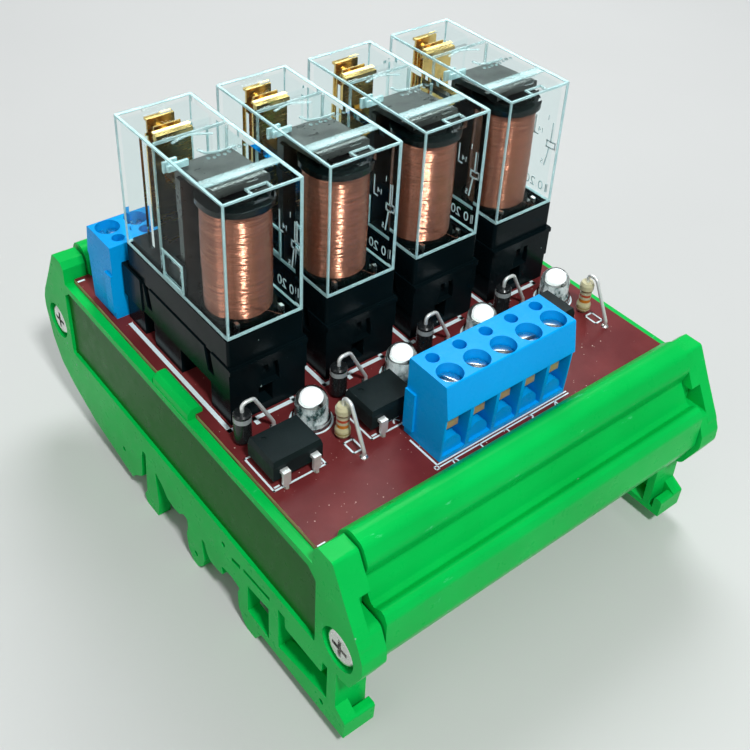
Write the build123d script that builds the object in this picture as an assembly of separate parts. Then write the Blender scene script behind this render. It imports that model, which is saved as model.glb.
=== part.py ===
import os
from math import cos, radians, sin
from build123d import *

# Four-channel relay board on a rail carrier, in millimetres.
# X runs along the relay row, -Y is the side with the five-way terminal, Z is up.
# Heights are measured from the underside of the front feet; the whole part is then
# lifted by hook_drop, because the rail hooks stand lower than the feet.
hook_drop = 2.8

# Channels: the board is as long as they need
channel_count = 4
channel_pitch = 17.0
board_end_spare = 0.95
board_long = channel_count * channel_pitch + 2 * board_end_spare

# Terminal rows: the board is as wide as they need
terminal_deep = 8.7
rear_inner = 22.1
rear_spare = 5.2
input_spare = 2.3
board_side = rear_inner + terminal_deep + rear_spare
board_wide = 2 * board_side
input_inner = terminal_deep + input_spare - board_side

# Circuit board
board_thick = 1.6
board_top = 30.3
board_bottom = board_top - board_thick
hole_play = 0.1
print_thick = 0.04
lead_below = 1.6
joint_high = 0.9

# Carrier profile and end plates
slot_play = 0.05
board_end_gap = 0.15
block_gap = 0.3
web_thick = 2.2
rim_thick = 1.5
rim_top = 29.6
block_deep = 4.1
foot_deep = 5.4
plate_face = board_long / 2 + board_end_gap + rim_thick
profile_half = plate_face - block_deep - block_gap
panel_sunk = 0.6
panel_half = board_side + 1.0
panel_low = 14.0
panel_high = 28.3
plate_screw_y = board_side + 6.06
plate_screw_z = 18.1
plate_screw_core = 1.3
plate_screw_head = 3.0
screw_seat_deep = 1.8
clip_front = -4.5
clip_back = 5.8

# Relay and its socket
relay_wide = 13.0
relay_front = -9.3
relay_back = 20.25
cover_low = 45.7
cover_top = 68.35
cover_wall = 1.0
cover_play = 0.1
base_low = 41.0
upstand_high = 1.3
clip_thick = 0.45
clip_top = 50.8
socket_wide = 13.4
socket_front = -9.7
socket_back = 21.6
deck_low = 35.3
leg_spans = [(-9.5, -4.2), (4.6, 12.8), (16.0, 21.5)]
pin_thick = 0.5
pin_long = 2.0
pin_end = 36.5
coil_pin_x = 3.75
coil_pin_y = -7.3
common_pin_y = 8.6
switch_pin_y = 18.3

# Magnet
coil_y = -2.1
seat_deep = 1.7
core_radius = 2.15
bobbin_tube = 2.9
pole_radius = 3.2
steel_thick = 1.2
flange_thick = 0.9
flange_half_x = relay_wide / 2 - cover_wall - 0.3
flange_half_y = 5.4
flange_corner = 4.8
winding_high = 17.4
winding_inset = 0.2
armature_thick = 1.0
armature_gap_deg = 4.5
armature_arm = 6.5
pole_stand = 0.4
pole_play = 0.1
pivot_play = 0.15
nose_past_core = 2.2
tongue_half = 0.9
tongue_thick = 0.8
push_play = 0.1

# Contacts: a moving leaf between two fixed ones, all standing in the relay base
leaf_front = 16.1
leaf_thick = 0.25
leaf_half = 2.2
leaf_root = 48.9
leaf_top = 66.4
leaf_swing_deg = 2.2
contact_z = 64.6
button_radius = 1.2
button_reach = 0.6
button_fixed = 0.45
contact_play = 0.08
fixed_thick = 0.4
fixed_neck = 1.5
closed_half = 3.0
closed_top = 66.0
open_half = 2.25
open_top = 66.8
lip_deep = 0.6

# Terminal blocks
way_pitch = 5.08
input_ways = 5
rear_ways = 3
input_centre = 0.54
rear_shift = -0.9
terminal_high = 14.1
hood_high = 8.6
entry_wide = 4.4
entry_floor = 0.8
screw_hole_radius = 2.0
screw_from_inner = 5.6
test_hole_radius = 1.05
test_from_inner = 1.9
clamp_screw_radius = 1.8

# Small parts, placed from the centre line of each relay
light_place = (3.7, -15.2)
light_radius = 2.5
light_flange = 2.9
light_high = 6.0
bridge_place = (-4.2, -20.0)
bridge_long = 8.3
bridge_wide = 6.4
bridge_high = 3.3
bridge_stand = 1.3
bridge_leg_x = 2.54
bridge_leg_y = 4.0
diode_place = (-6.9, -13.2)
diode_land = 5.3
diode_radius = 1.35
diode_low = 0.5
diode_high = 5.3
resistor_place = (5.4, -20.6)
resistor_lands = [-5.1, -3.3, -3.3, -5.1]
resistor_low = 0.3
resistor_high = 5.8
resistor_radius = 1.2
lead_radius = 0.3
lead_rise = 1.5


def channel_x(number):
    return (number - (channel_count - 1) / 2) * channel_pitch


def block(x0, x1, y0, y1, z0, z1):
    return Pos((x0 + x1) / 2, (y0 + y1) / 2, (z0 + z1) / 2) * Box(x1 - x0, y1 - y0, z1 - z0)


# a closed outline whose corners are (across, up) or (across, up, radius)
def outline(corners):
    shape = Polygon(*[(c[0], c[1]) for c in corners], align=None)
    for corner in corners:
        if len(corner) == 3:
            near = sorted(shape.vertices(), key=lambda v: abs(v.X - corner[0]) + abs(v.Y - corner[1]))
            shape = fillet(near[0], radius=corner[2])
    return shape


# an outline in (y, z) pushed along X, or in (x, z) pushed along Y
def along_x(corners, x0, x1):
    return Pos(x0, 0, 0) * extrude(Plane.YZ * outline(corners), amount=x1 - x0, dir=(1, 0, 0))


def along_y(corners, y0, y1):
    return Pos(0, y0, 0) * extrude(Plane.XZ * outline(corners), amount=y1 - y0, dir=(0, 1, 0))


def rod_z(x, y, z0, z1, radius):
    return Pos(x, y, (z0 + z1) / 2) * Cylinder(radius, z1 - z0)


def rod_y(x, z, y0, y1, radius):
    return Pos(x, (y0 + y1) / 2, z) * Rot(90, 0, 0) * Cylinder(radius, y1 - y0)


def rod_x(y, z, x0, x1, radius):
    return Pos((x0 + x1) / 2, y, z) * Rot(0, 90, 0) * Cylinder(radius, x1 - x0)


# places of everything that goes through the board: (x, y, hole radius)
def board_holes():
    holes = []
    for n in range(channel_count):
        x = channel_x(n)
        for px, py in relay_pin_places():
            holes.append((x + px, py, 0.65))
        for side in (-1, 1):
            holes.append((x + light_place[0] + side * 1.27, light_place[1], lead_radius + hole_play))
            for row in (-1, 1):
                holes.append((x + bridge_place[0] + side * bridge_leg_x,
                              bridge_place[1] + row * bridge_leg_y, 0.45))
        holes.append((x + diode_place[0], diode_place[1], lead_radius + hole_play))
        holes.append((x + diode_place[0] + diode_land, diode_place[1], lead_radius + hole_play))
        holes.append((x + resistor_place[0], resistor_place[1], lead_radius + hole_play))
        holes.append((x + resistor_place[0], resistor_place[1] + resistor_lands[n], lead_radius + hole_play))
        for way in range(rear_ways):
            holes.append((way_x(x + rear_shift, rear_ways, way), rear_inner + clamp_pin_from_inner(), 0.65))
    for way in range(input_ways):
        holes.append((way_x(input_centre, input_ways, way), input_inner - clamp_pin_from_inner(), 0.65))
    return holes


def relay_pin_places():
    return [(-coil_pin_x, coil_pin_y), (coil_pin_x, coil_pin_y), (0, common_pin_y),
            (-coil_pin_x, switch_pin_y), (coil_pin_x, switch_pin_y)]


def way_x(centre, ways, way):
    return centre + (way - (ways - 1) / 2) * way_pitch


def clamp_pin_from_inner():
    return 2.9


# Carrier: the corners near its long sides are written from the edge of the board
def from_side(corners, side=1):
    return [(side * (board_side + c[0]),) + tuple(c[1:]) for c in corners]


def profile_half_outline():
    slot_back = slot_play + 0.1
    lip_low = board_top + slot_play
    corners = [(5.0, 13.0, 1.0), (8.8, 14.6, 2.0), (10.5, 18.6, 2.4), (10.5, 24.6, 1.2),
               (9.5, 26.4, 0.9), (7.8, 25.2, 0.4), (7.0, 25.5, 0.3), (6.2, 26.9, 0.3),
               (5.2, 28.5, 0.9), (6.2, 31.6, 2.0), (4.8, 34.3, 1.8), (2.0, 34.9, 2.0),
               (-0.1, 32.8, 1.4), (-0.7, lip_low), (slot_back, lip_low), (slot_back, board_bottom),
               (-2.8, board_bottom), (-2.8, 27.2), (2.4, 27.2), (4.6, 24.2), (8.3, 23.6),
               (8.3, 22.2), (3.0, 21.6), (2.2, 20.4), (2.2, 15.0)]
    return from_side(corners)


def carrier_profile():
    right = profile_half_outline()
    left = [(-c[0],) + tuple(c[1:]) for c in reversed(right)]
    body = along_x(right + left, -profile_half, profile_half)
    for side in (-1, 1):
        body -= rod_x(side * plate_screw_y, plate_screw_z, -profile_half, profile_half,
                      plate_screw_core + 0.05)
    return body


# outer edge of an end plate in (y, z), from the back top corner down, along the foot and up the front
def plate_edge():
    low = -hook_drop
    back = from_side([(0.4, rim_top), (0.4, 32.6), (1.3, 33.7), (4.4, 33.7, 0.6), (7.2, 28.4),
                      (10.5, 22.4, 2.0), (11.3, 18.2, 3.0), (9.8, 11.9, 2.0), (7.2, 7.6, 2.0),
                      (2.8, 4.9, 3.0), (-4.7, 1.9, 6.0)])
    back += [(22.4, 0.2), (19.0, -0.5, 0.6), (17.3, -0.8, 0.6), (16.3, 0.4), (15.4, 1.2, 0.5),
             (13.4, 2.7, 0.5), (12.9, 7.6), (12.2, 9.8, 0.3), (11.2, 9.8, 0.3)]
    post = [(12.0, 0.4), (13.0, -1.2, 0.3), (12.4, low), (8.4, low, 0.4), (7.9, 0.6), (8.2, 8.3, 0.3)]
    middle = [(6.2, 7.0), (4.4, 5.2, 1.0), (2.4, 4.7), (0.6, 5.0, 0.8), (-0.8, 6.2, 0.4), (-2.0, 6.1, 0.3)]
    hook = [(-2.1, 4.2), (-1.5, 2.2, 0.8), (-1.9, -0.8, 1.0), (-3.1, low, 0.5), (-4.7, low, 0.6),
            (-6.3, -1.2, 0.8), (-6.9, 0.8), (-6.4, 5.6, 0.3), (-7.3, 5.6, 0.3), (-7.9, 3.8)]
    latch = [(-8.9, 2.7, 0.6), (-11.3, 2.8), (-12.7, 3.2, 0.3), (-12.4, 5.0, 0.3), (-15.4, 5.5),
             (-17.6, 5.0, 0.3), (-17.0, 3.6), (-17.1, 0.3), (-18.3, -1.9, 0.5), (-19.4, low, 0.5),
             (-21.7, low, 0.5), (-23.4, 0.0, 0.5)]
    foot = [(8.1, 0.0, 0.4), (8.3, 3.6, 0.5), (6.0, 5.0), (6.0, 12.4)]
    front = [(8.8, 12.8, 1.5), (11.3, 18.2, 3.0), (10.5, 22.4, 2.0), (7.2, 28.4), (4.4, 33.7, 0.6),
             (1.3, 33.7), (0.4, 32.6), (0.4, rim_top)]
    return back + post + middle + hook + latch + from_side(foot + front, -1)


def plate_windows():
    return [[(-20.0, 8.1), (-25.6, 8.7), (-25.6, 1.7), (-19.8, 2.1)],
            [(-18.9, 10.3), (-27.2, 10.9), (-27.2, 11.7), (-18.9, 11.0)],
            [(-15.6, 9.5), (-18.0, 9.9), (-18.0, 10.8), (-15.6, 10.3)],
            [(-28.1, 11.3), (-29.8, 11.3), (-29.9, 9.0, 0.4)]
            + from_side([(2.7, 9.1, 0.4), (2.9, 11.6), (4.0, 11.6), (4.0, 4.6)], -1) + [(-28.1, 2.6)]]


def end_block(side):
    inner = -plate_face + block_deep
    top = [(0.4, 28.0), (0.4, 32.6, 0.5), (1.3, 33.7, 0.4), (4.4, 33.7, 0.8), (7.4, 28.0, 0.3)]
    lobe = [(3.0, 24.2), (9.6, 24.2, 1.2), (11.2, 20.6, 1.5), (11.3, 18.2, 2.5), (8.8, 12.8, 2.0),
            (5.8, 12.4, 1.0), (3.0, 13.6, 1.0)]
    wall = [(3.2, 20.0), (5.0, 20.0), (5.0, 29.5), (3.2, 29.5)]
    solid = along_x(from_side(top), -plate_face, inner) + along_x(from_side(lobe), -plate_face, inner)
    solid += along_x(from_side(wall), -plate_face, inner)
    solid += rod_z(inner - 0.75, board_side + 5.3, 20.0, 29.0, 0.75)
    if side < 0:
        solid = mirror(solid, about=Plane.XZ)
    return solid


def board_clip():
    lip = board_top + slot_play
    inner = -plate_face + rim_thick
    face = -plate_face
    section = [(face, rim_top - 1.2), (face + 0.2, 30.8, 0.4), (face + 0.9, 31.6, 0.5),
               (face + 2.3, 31.6, 0.4), (face + 2.7, 31.1, 0.2), (face + 2.7, lip), (inner, lip),
               (inner, rim_top - 1.2)]
    return along_y(section, clip_front, clip_back)


def foot_web():
    inner = -plate_face + foot_deep
    solid = block(-plate_face, inner, -board_side - 6.0, -board_side - 4.6, 0.9, 12.4)
    solid += block(-plate_face, inner, -board_side - 8.1, -26.9, 0.0, 1.1)
    solid += along_x(from_side([(6.6, 0.0), (8.1, 0.0, 0.4), (8.3, 3.6, 0.5), (6.7, 3.6, 0.3)], -1),
                     -plate_face, inner)
    solid += block(-plate_face, inner, -27.6, -25.9, 0.0, 11.8)
    return solid


def end_plate_left():
    outer = -plate_face
    plate = along_x(plate_edge(), outer, outer + web_thick)
    plate -= block(outer + rim_thick, outer + web_thick, -board_side - 0.3, board_side + 0.3, 27.4, 40.0)
    for side in (-1, 1):
        plate += end_block(side)
    plate += board_clip()
    for window in plate_windows():
        plate -= along_x(window, outer, outer + web_thick)
    plate += foot_web()
    plate -= along_x([(-panel_half, panel_low, 0.6), (panel_half, panel_low, 0.6),
                      (panel_half, panel_high - 1.4, 0.6), (panel_half - 1.8, panel_high, 0.6),
                      (-panel_half + 1.8, panel_high, 0.6), (-panel_half, panel_high - 1.4, 0.6)],
                     outer, outer + panel_sunk)
    for side in (-1, 1):
        plate -= rod_x(side * plate_screw_y, plate_screw_z, outer, outer + screw_seat_deep,
                       plate_screw_head + 0.4)
        plate -= rod_x(side * plate_screw_y, plate_screw_z, outer, outer + block_deep,
                       plate_screw_core + 0.3)
    for hole_y, hole_z in ((-4.3, 0.0), (-13.3, 11.0), (19.7, 4.1), (-38.8, 2.2)):
        plate -= rod_x(hole_y, hole_z, outer, outer + 1.2, 0.5)
    return plate


def end_plate_right():
    return mirror(end_plate_left(), about=Plane.YZ)


def end_plate_screws():
    screws = []
    seat = plate_face - screw_seat_deep
    for end in (-1, 1):
        for side in (-1, 1):
            head = rod_x(0, 0, 0, 1.5, plate_screw_head)
            head = fillet(head.edges().sort_by(Axis.X)[-1], radius=0.9)
            cross = block(0.7, 1.5, -1.6, 1.6, -0.35, 0.35) + block(0.7, 1.5, -0.35, 0.35, -1.6, 1.6)
            shank = rod_x(0, 0, -9.0, 0, plate_screw_core - 0.05)
            screw = Pos(seat, side * plate_screw_y, plate_screw_z) * (head - cross + shank)
            if end < 0:
                screw = mirror(screw, about=Plane.YZ)
            screws.append(screw)
    return screws


# Board
def circuit_board():
    board = block(-board_long / 2, board_long / 2, -board_wide / 2, board_wide / 2,
                  board_bottom, board_top)
    drills = [rod_z(x, y, board_bottom, board_top, r) for x, y, r in board_holes()]
    return board - drills


def print_line(x0, y0, x1, y1, width):
    long = ((x1 - x0) ** 2 + (y1 - y0) ** 2) ** 0.5
    turn = Vector(1, 0, 0).get_signed_angle(Vector(x1 - x0, y1 - y0, 0))
    return Pos((x0 + x1) / 2, (y0 + y1) / 2) * Rot(0, 0, turn) * Rectangle(long + width, width)


def print_frame(x0, x1, y0, y1, width):
    inside = Rectangle(x1 - x0 - width, y1 - y0 - width)
    return Pos((x0 + x1) / 2, (y0 + y1) / 2) * (Rectangle(x1 - x0 + width, y1 - y0 + width) - inside)


def channel_print(number):
    x = channel_x(number)
    thick = 0.7
    fine = 0.3
    left = x - socket_wide / 2 - 0.6
    right = x + socket_wide / 2 + 0.6
    front = socket_front - 0.6
    lines = [print_line(left, front, left, socket_back - 2, thick),
             print_line(right, front + 4.5, right, socket_back - 2, thick),
             print_line(left, front, left + 0.8, front, thick),
             print_line(x - 3.1, front, x + 4.0, front, thick),
             print_line(x - 3.1, front, x - 3.1, front - 0.9, thick),
             print_line(x + 4.0, front, x + 4.0, front + 0.4, thick)]
    bx, by = x + bridge_place[0], bridge_place[1]
    lines.append(print_frame(bx - 4.4, bx + 4.4, by - 3.7, by + 3.7, fine))
    for side in (-1, 1):
        mark = bx + side * 3.6
        lines.append(print_line(mark - 0.3, by - 3.2, mark + 0.3, by - 3.2, fine))
    rx, ry = x + resistor_place[0], resistor_place[1]
    lines.append(print_frame(rx - 0.8, rx + 0.8, ry - 3.8, ry - 1.4, fine))
    lx, ly = x + light_place[0], light_place[1]
    lines.append(Pos(lx, ly) * (Circle(light_flange + 0.38) - Circle(light_flange + 0.08)))
    return lines


def input_print():
    half = input_ways * way_pitch / 2
    x0, x1 = input_centre - half - 0.3, input_centre + half + 0.3
    outer = input_inner - terminal_deep - 0.35
    lines = [print_line(x0, outer, x1, outer, 0.22), print_line(x0, outer - 0.5, x1, outer - 0.5, 0.22),
             print_line(x0 - 0.2, outer + 6.0, x0 - 0.2, outer - 0.4, 0.4),
             print_frame(x0 - 0.9, x0 - 0.3, outer - 0.3, outer + 0.3, 0.2)]
    for turn in range(3):
        reach = 0.9
        dx, dy = reach * cos(radians(60 * turn)), reach * sin(radians(60 * turn))
        lines.append(print_line(-11.9 - dx, -22.2 - dy, -11.9 + dx, -22.2 + dy, 0.25))
    for side in (-1, 1):
        end = side * (board_long / 2 - 0.3)
        for edge in (-1, 1):
            low = edge * (board_side - 1.1)
            lines.append(print_line(end, low, end - side * 0.9, low, 0.4))
    return lines


def board_print():
    flat = input_print()
    for n in range(channel_count):
        flat += channel_print(n)
    sheet = flat[0] + flat[1:]
    sheet -= [Pos(x, y) * Circle(r + 0.15) for x, y, r in board_holes()]
    return Pos(0, 0, board_top) * extrude(sheet, amount=print_thick)


def solder_joints():
    joints = []
    for x, y, r in board_holes():
        cone = Pos(x, y, board_bottom - joint_high / 2) * Cone(0.55, r + 0.45, joint_high)
        joints.append(cone - pin_below(x, y, r))
    return joints


# what comes out under the board through a hole, used to open its solder joint
def pin_below(x, y, r):
    low = board_bottom - lead_below
    if r > 0.6:
        return block(x - 0.3, x + 0.3, y - 0.45, y + 0.45, low, board_bottom)
    if r > lead_radius + hole_play + 0.01:
        return block(x - 0.25, x + 0.25, y - 0.25, y + 0.25, low, board_bottom)
    return rod_z(x, y, low, board_bottom, lead_radius)


# Relay sockets
def relay_socket(number):
    x = channel_x(number)
    half = socket_wide / 2
    solid = block(-half, half, socket_front, socket_back, deck_low, base_low)
    solid += block(-half - 0.25, half + 0.25, 15.8, socket_back, deck_low, base_low + 0.4)
    solid -= block(-relay_wide / 2 - cover_play, relay_wide / 2 + cover_play, socket_front,
                   relay_back + 0.2, base_low, base_low + 1.0)
    for y0, y1 in leg_spans:
        solid += block(-half + 0.15, half - 0.15, y0, y1, board_top, deck_low)
    solid += block(-half, half, socket_front - 0.3, socket_front, base_low - 0.9, base_low - 0.1)
    solid -= block(-half + 1.6, half - 1.6, -4.0, 4.5, deck_low, base_low - 1.2)
    for side in (-1, 1):
        face = side * half
        for low_y, high_y in ((-4.7, -2.9), (13.5, 15.2)):
            notch = [(low_y - 0.9, 37.1), (high_y - 0.9, 37.1), (high_y, base_low), (low_y, base_low)]
            solid -= along_x(notch, min(face, face - side * 0.8), max(face, face - side * 0.8))
    front = socket_front
    solid -= block(-1.4, 1.8, front, front + 1.0, deck_low + 0.2, 38.1)
    solid -= block(-1.0, -0.1, front, front + 1.0, 38.1, 39.1)
    solid -= block(0.7, 1.6, front, front + 1.0, 38.1, 39.1)
    solid -= block(-1.7, 0.7, front, front + 2.4, 31.8, deck_low)
    for px, py in relay_pin_places():
        solid -= block(px - 0.8, px + 0.8, py - 1.2, py + 1.2, board_top, base_low)
    return Pos(x, 0, 0) * solid


def socket_contacts():
    contacts = []
    leaf_in = pin_thick / 2
    leaf_out = leaf_in + 0.4
    for n in range(channel_count):
        for px, py in relay_pin_places():
            fork = block(-leaf_out, leaf_out, -0.95, 0.95, pin_end - 0.8, base_low - 0.6)
            fork -= block(-leaf_in, leaf_in, -0.95, 0.95, pin_end - 0.2, base_low - 0.6)
            fork += block(-0.3, 0.3, -0.45, 0.45, board_bottom - lead_below, pin_end - 0.8)
            contacts.append(Pos(channel_x(n) + px, py, 0) * fork)
    return contacts


# Relays
# the coil pins end at the floor of the magnet's seat, the others lower
def relay_pin_high(py):
    return yoke_low() if py < 0 else 44.0


def relay_base(number):
    half = relay_wide / 2
    inset = cover_wall + cover_play
    solid = block(-half, half, relay_front, relay_back, base_low, cover_low)
    solid = fillet(solid.edges().filter_by(Axis.Z), radius=0.5)
    leg = yoke_leg_inner()
    solid -= block(-flange_half_x - 0.1, flange_half_x + 0.1, relay_front + inset, leg - 0.4,
                   yoke_low(), cover_low)
    solid -= block(-yoke_half() - 0.1, yoke_half() + 0.1, leg - 0.4, leg + steel_thick + 0.1,
                   yoke_low(), cover_low)
    solid += block(-half + inset, half - inset, leg + steel_thick + 0.3, relay_back - inset,
                   cover_low, cover_low + upstand_high)
    solid += block(-half + 2.0, half - 2.0, 8.0, 8.9, cover_low + upstand_high, 49.6)
    for side in (-1, 1):
        face = side * (half - inset)
        solid += block(min(face, face - side * clip_thick), max(face, face - side * clip_thick),
                       leg - 0.4, leg + 4.0, cover_low, clip_top)
    for px, py in relay_pin_places():
        high = relay_pin_high(py)
        solid -= block(px - pin_thick / 2 - 0.05, px + pin_thick / 2 + 0.05,
                       py - pin_long / 2 - 0.05, py + pin_long / 2 + 0.05, base_low, high)
    for y0 in fixed_contact_places():
        solid -= block(-fixed_neck - 0.05, fixed_neck + 0.05, y0 - 0.05, y0 + fixed_thick + 0.05,
                       cover_low, cover_low + upstand_high)
    return Pos(channel_x(number), 0, 0) * solid


def relay_cover(number):
    half = relay_wide / 2
    outside = block(-half, half, relay_front, relay_back, cover_low, cover_top)
    outside = fillet(outside.edges().filter_by(Axis.Z), radius=0.8)
    outside = fillet(outside.faces().sort_by(Axis.Z)[-1].edges(), radius=0.35)
    w = cover_wall
    inside = block(-half + w, half - w, relay_front + w, relay_back - w, cover_low, cover_top - w)
    solid = outside - inside
    roof = cover_top - w
    solid += block(-half + w, half - w, 12.9, 13.7, roof - 1.3, roof)
    solid += block(-half + w, half - w, -3.2, -2.5, roof - 0.5, roof)
    solid += block(-half + w, -half + w + 0.6, 12.9, 13.7, 48.5, roof)
    solid += block(half - w - 0.6, half - w, 12.9, 13.7, 48.5, roof)
    solid -= block(-1.5, 1.5, relay_front, relay_front + 0.7, cover_top - 1.6, cover_top)
    solid -= block(-2.0, 2.0, relay_back - 0.6, relay_back, cover_top - 1.2, cover_top)
    for y0 in (-6.6, 16.2):
        solid += block(-0.9, 0.9, y0, y0 + 0.35, cover_top, cover_top + 0.25)
    frame = block(-half, -half + 0.3, 2.6, 8.5, 47.6, 51.4) - block(-half, -half + 0.3, 3.0, 8.1, 48.0, 51.0)
    solid -= [frame, mirror(frame, about=Plane.YZ)]
    return Pos(channel_x(number), 0, 0) * solid


def yoke_low():
    return cover_low - seat_deep


def yoke_half():
    return flange_half_x - 0.4


def bobbin_low():
    return yoke_low() + steel_thick


def bobbin_high():
    return bobbin_low() + 2 * flange_thick + winding_high


def yoke_leg_inner():
    return coil_y + flange_half_y + 0.6


def pole_top():
    return bobbin_high() + pole_stand


def flange_shape(half_x, half_y, radius):
    front = RectangleRounded(2 * half_x, 2 * half_y, radius)
    return Pos(0, coil_y) * front


def coil_bobbin(number):
    low = bobbin_low()
    flat = flange_shape(flange_half_x, flange_half_y, flange_corner)
    solid = Pos(0, 0, low) * extrude(flat, amount=flange_thick)
    solid += Pos(0, 0, bobbin_high() - flange_thick) * extrude(flat, amount=flange_thick)
    solid += rod_z(0, coil_y, low, bobbin_high(), bobbin_tube)
    solid -= rod_z(0, coil_y, low, bobbin_high(), core_radius + 0.05)
    return Pos(channel_x(number), 0, 0) * solid


def coil_winding(number):
    low = bobbin_low() + flange_thick
    solid = rod_z(0, coil_y, low, low + winding_high, flange_half_x - winding_inset)
    solid -= rod_z(0, coil_y, low, low + winding_high, bobbin_tube)
    return Pos(channel_x(number), 0, 0) * solid


def yoke(number):
    low = yoke_low()
    inner = yoke_leg_inner()
    half = yoke_half()
    solid = block(-half, half, coil_y - 4.0, inner + steel_thick, low, low + steel_thick)
    solid += block(-half, half, inner, inner + steel_thick, low, pole_top())
    solid += rod_z(0, coil_y, low, pole_top(), core_radius)
    solid += rod_z(0, coil_y, bobbin_high(), pole_top(), pole_radius)
    return Pos(channel_x(number), 0, 0) * solid


# the armature turns about the outer top edge of the yoke
def pivot_y():
    return yoke_leg_inner() + steel_thick + pivot_play


def pivot_z():
    return pole_top() + pole_play


# its bent-down arm ends in a tongue that pushes the moving contact leaf
def armature(number):
    reach = pivot_y() - coil_y + nose_past_core
    lift = radians(armature_gap_deg)
    y0, z0 = pivot_y(), pivot_z()
    t = armature_thick
    nose = (y0 - reach * cos(lift), z0 + reach * sin(lift))
    nose_top = (nose[0] + t * sin(lift), nose[1] + t * cos(lift))
    low = z0 - armature_arm
    section = [(y0, z0), nose, nose_top, (y0 + t, z0 + t, 0.4), (y0 + t, low), (y0, low)]
    tip = leaf_front - armature_arm * sin(lift) - push_play
    solid = along_x(section, -4.3, 4.3)
    solid += block(-tongue_half, tongue_half, y0 + t, tip, low, low + tongue_thick)
    return Pos(channel_x(number), 0, 0) * solid


def leaf_middle():
    return leaf_front + leaf_thick / 2


def contact_spring(number):
    solid = block(-leaf_half, leaf_half, leaf_front, leaf_front + leaf_thick, leaf_root, leaf_top)
    solid += rod_y(0, contact_z, leaf_middle() - button_reach, leaf_middle() + button_reach, button_radius)
    return Pos(channel_x(number), 0, 0) * solid


def contact_travel():
    return (contact_z + button_radius - leaf_root) * sin(radians(leaf_swing_deg))


# front faces of the closed contact strip, the root of the moving leaf and the open contact strip
def fixed_contact_places():
    closed = leaf_middle() - button_reach - contact_play - button_fixed - fixed_thick
    opened = leaf_middle() + button_reach + contact_travel() + contact_play + button_fixed
    return [closed, leaf_middle() - fixed_thick / 2, opened]


def fixed_strip(y0, half, top, toward):
    shoulder = leaf_root - 0.5
    strip = block(-fixed_neck, fixed_neck, y0, y0 + fixed_thick, cover_low, shoulder)
    strip += block(-half, half, y0, y0 + fixed_thick, shoulder, top)
    face = y0 if toward < 0 else y0 + fixed_thick
    near, far = sorted((face, face + toward * lip_deep))
    strip += block(-half, half, near, far, top - fixed_thick, top)
    face = y0 + fixed_thick if toward < 0 else y0
    near, far = sorted((face, face - toward * button_fixed))
    return strip + rod_y(0, contact_z, near, far, button_radius - 0.1)


def fixed_contacts():
    strips = []
    closed, root, opened = fixed_contact_places()
    low = pivot_z() - armature_arm - 0.6
    window = block(-tongue_half - 0.5, tongue_half + 0.5, closed, closed + fixed_thick,
                   low, low + tongue_thick + 1.9)
    for n in range(channel_count):
        place = Pos(channel_x(n), 0, 0)
        strips.append(place * (fixed_strip(closed, closed_half, closed_top, -1) - window))
        strips.append(place * block(-fixed_neck, fixed_neck, root, root + fixed_thick,
                                    cover_low, leaf_root - 0.1))
        strips.append(place * fixed_strip(opened, open_half, open_top, 1))
    return strips


def relay_pins():
    pins = []
    half = pin_thick / 2
    for n in range(channel_count):
        for px, py in relay_pin_places():
            high = relay_pin_high(py)
            pin = block(-half, half, -pin_long / 2, pin_long / 2, pin_end, high)
            if py < 0:
                pin += block(-half, half, -0.4, 0.4, high, high + 2.8)
            pins.append(Pos(channel_x(n) + px, py, 0) * pin)
    return pins


# Terminal blocks: built with the inner face at y = 0 and the wire entries towards -Y
def terminal_housing(ways):
    half = ways * way_pitch / 2
    low, top = board_top, board_top + terminal_high
    hood = board_top + hood_high
    deep = terminal_deep
    section = [(0, low), (0, top, 0.2), (-deep + 0.9, top, 0.25), (-deep, hood, 0.2),
               (-deep + 0.35, hood - 0.3), (-deep + 0.8, low)]
    solid = along_x(section, -half, half)
    for end in (-1, 1):
        face = end * half
        solid += block(min(face, face + end * 0.4), max(face, face + end * 0.4), -2.1, 0, low + 1.4, hood)
    for way in range(ways):
        x = way_x(0, ways, way)
        e = entry_wide / 2
        solid -= block(x - e, x + e, -deep + 1.4, -2.2, low + entry_floor, hood + 0.7)
        solid -= block(x - e, x + e, -deep - 1.0, -deep + 1.4, low + entry_floor, hood - 0.5)
        solid += rod_y(x, low + 1.5, -deep + 1.3, -4.2, 1.9) & block(
            x - e, x + e, -deep, 0, low + entry_floor, hood)
        solid -= rod_z(x, -screw_from_inner, hood + 0.5, top, screw_hole_radius)
        solid -= rod_z(x, -test_from_inner, top - 3.2, top, test_hole_radius)
        solid -= block(x - 0.4, x + 0.4, -clamp_pin_from_inner() - 0.55, -clamp_pin_from_inner() + 0.55,
                       low, low + entry_floor)
    return solid


def terminal_screw(x):
    seat = board_top + hood_high + 0.6
    head = rod_z(x, -screw_from_inner, seat, seat + 1.7, clamp_screw_radius)
    head = fillet(head.edges().sort_by(Axis.Z)[-1], radius=0.4)
    head -= block(x - 0.35, x + 0.35, -screw_from_inner - 2.0, -screw_from_inner + 2.0,
                  seat + 0.9, seat + 1.7)
    return head + rod_z(x, -screw_from_inner, seat - 3.4, seat, 1.2)


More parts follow.
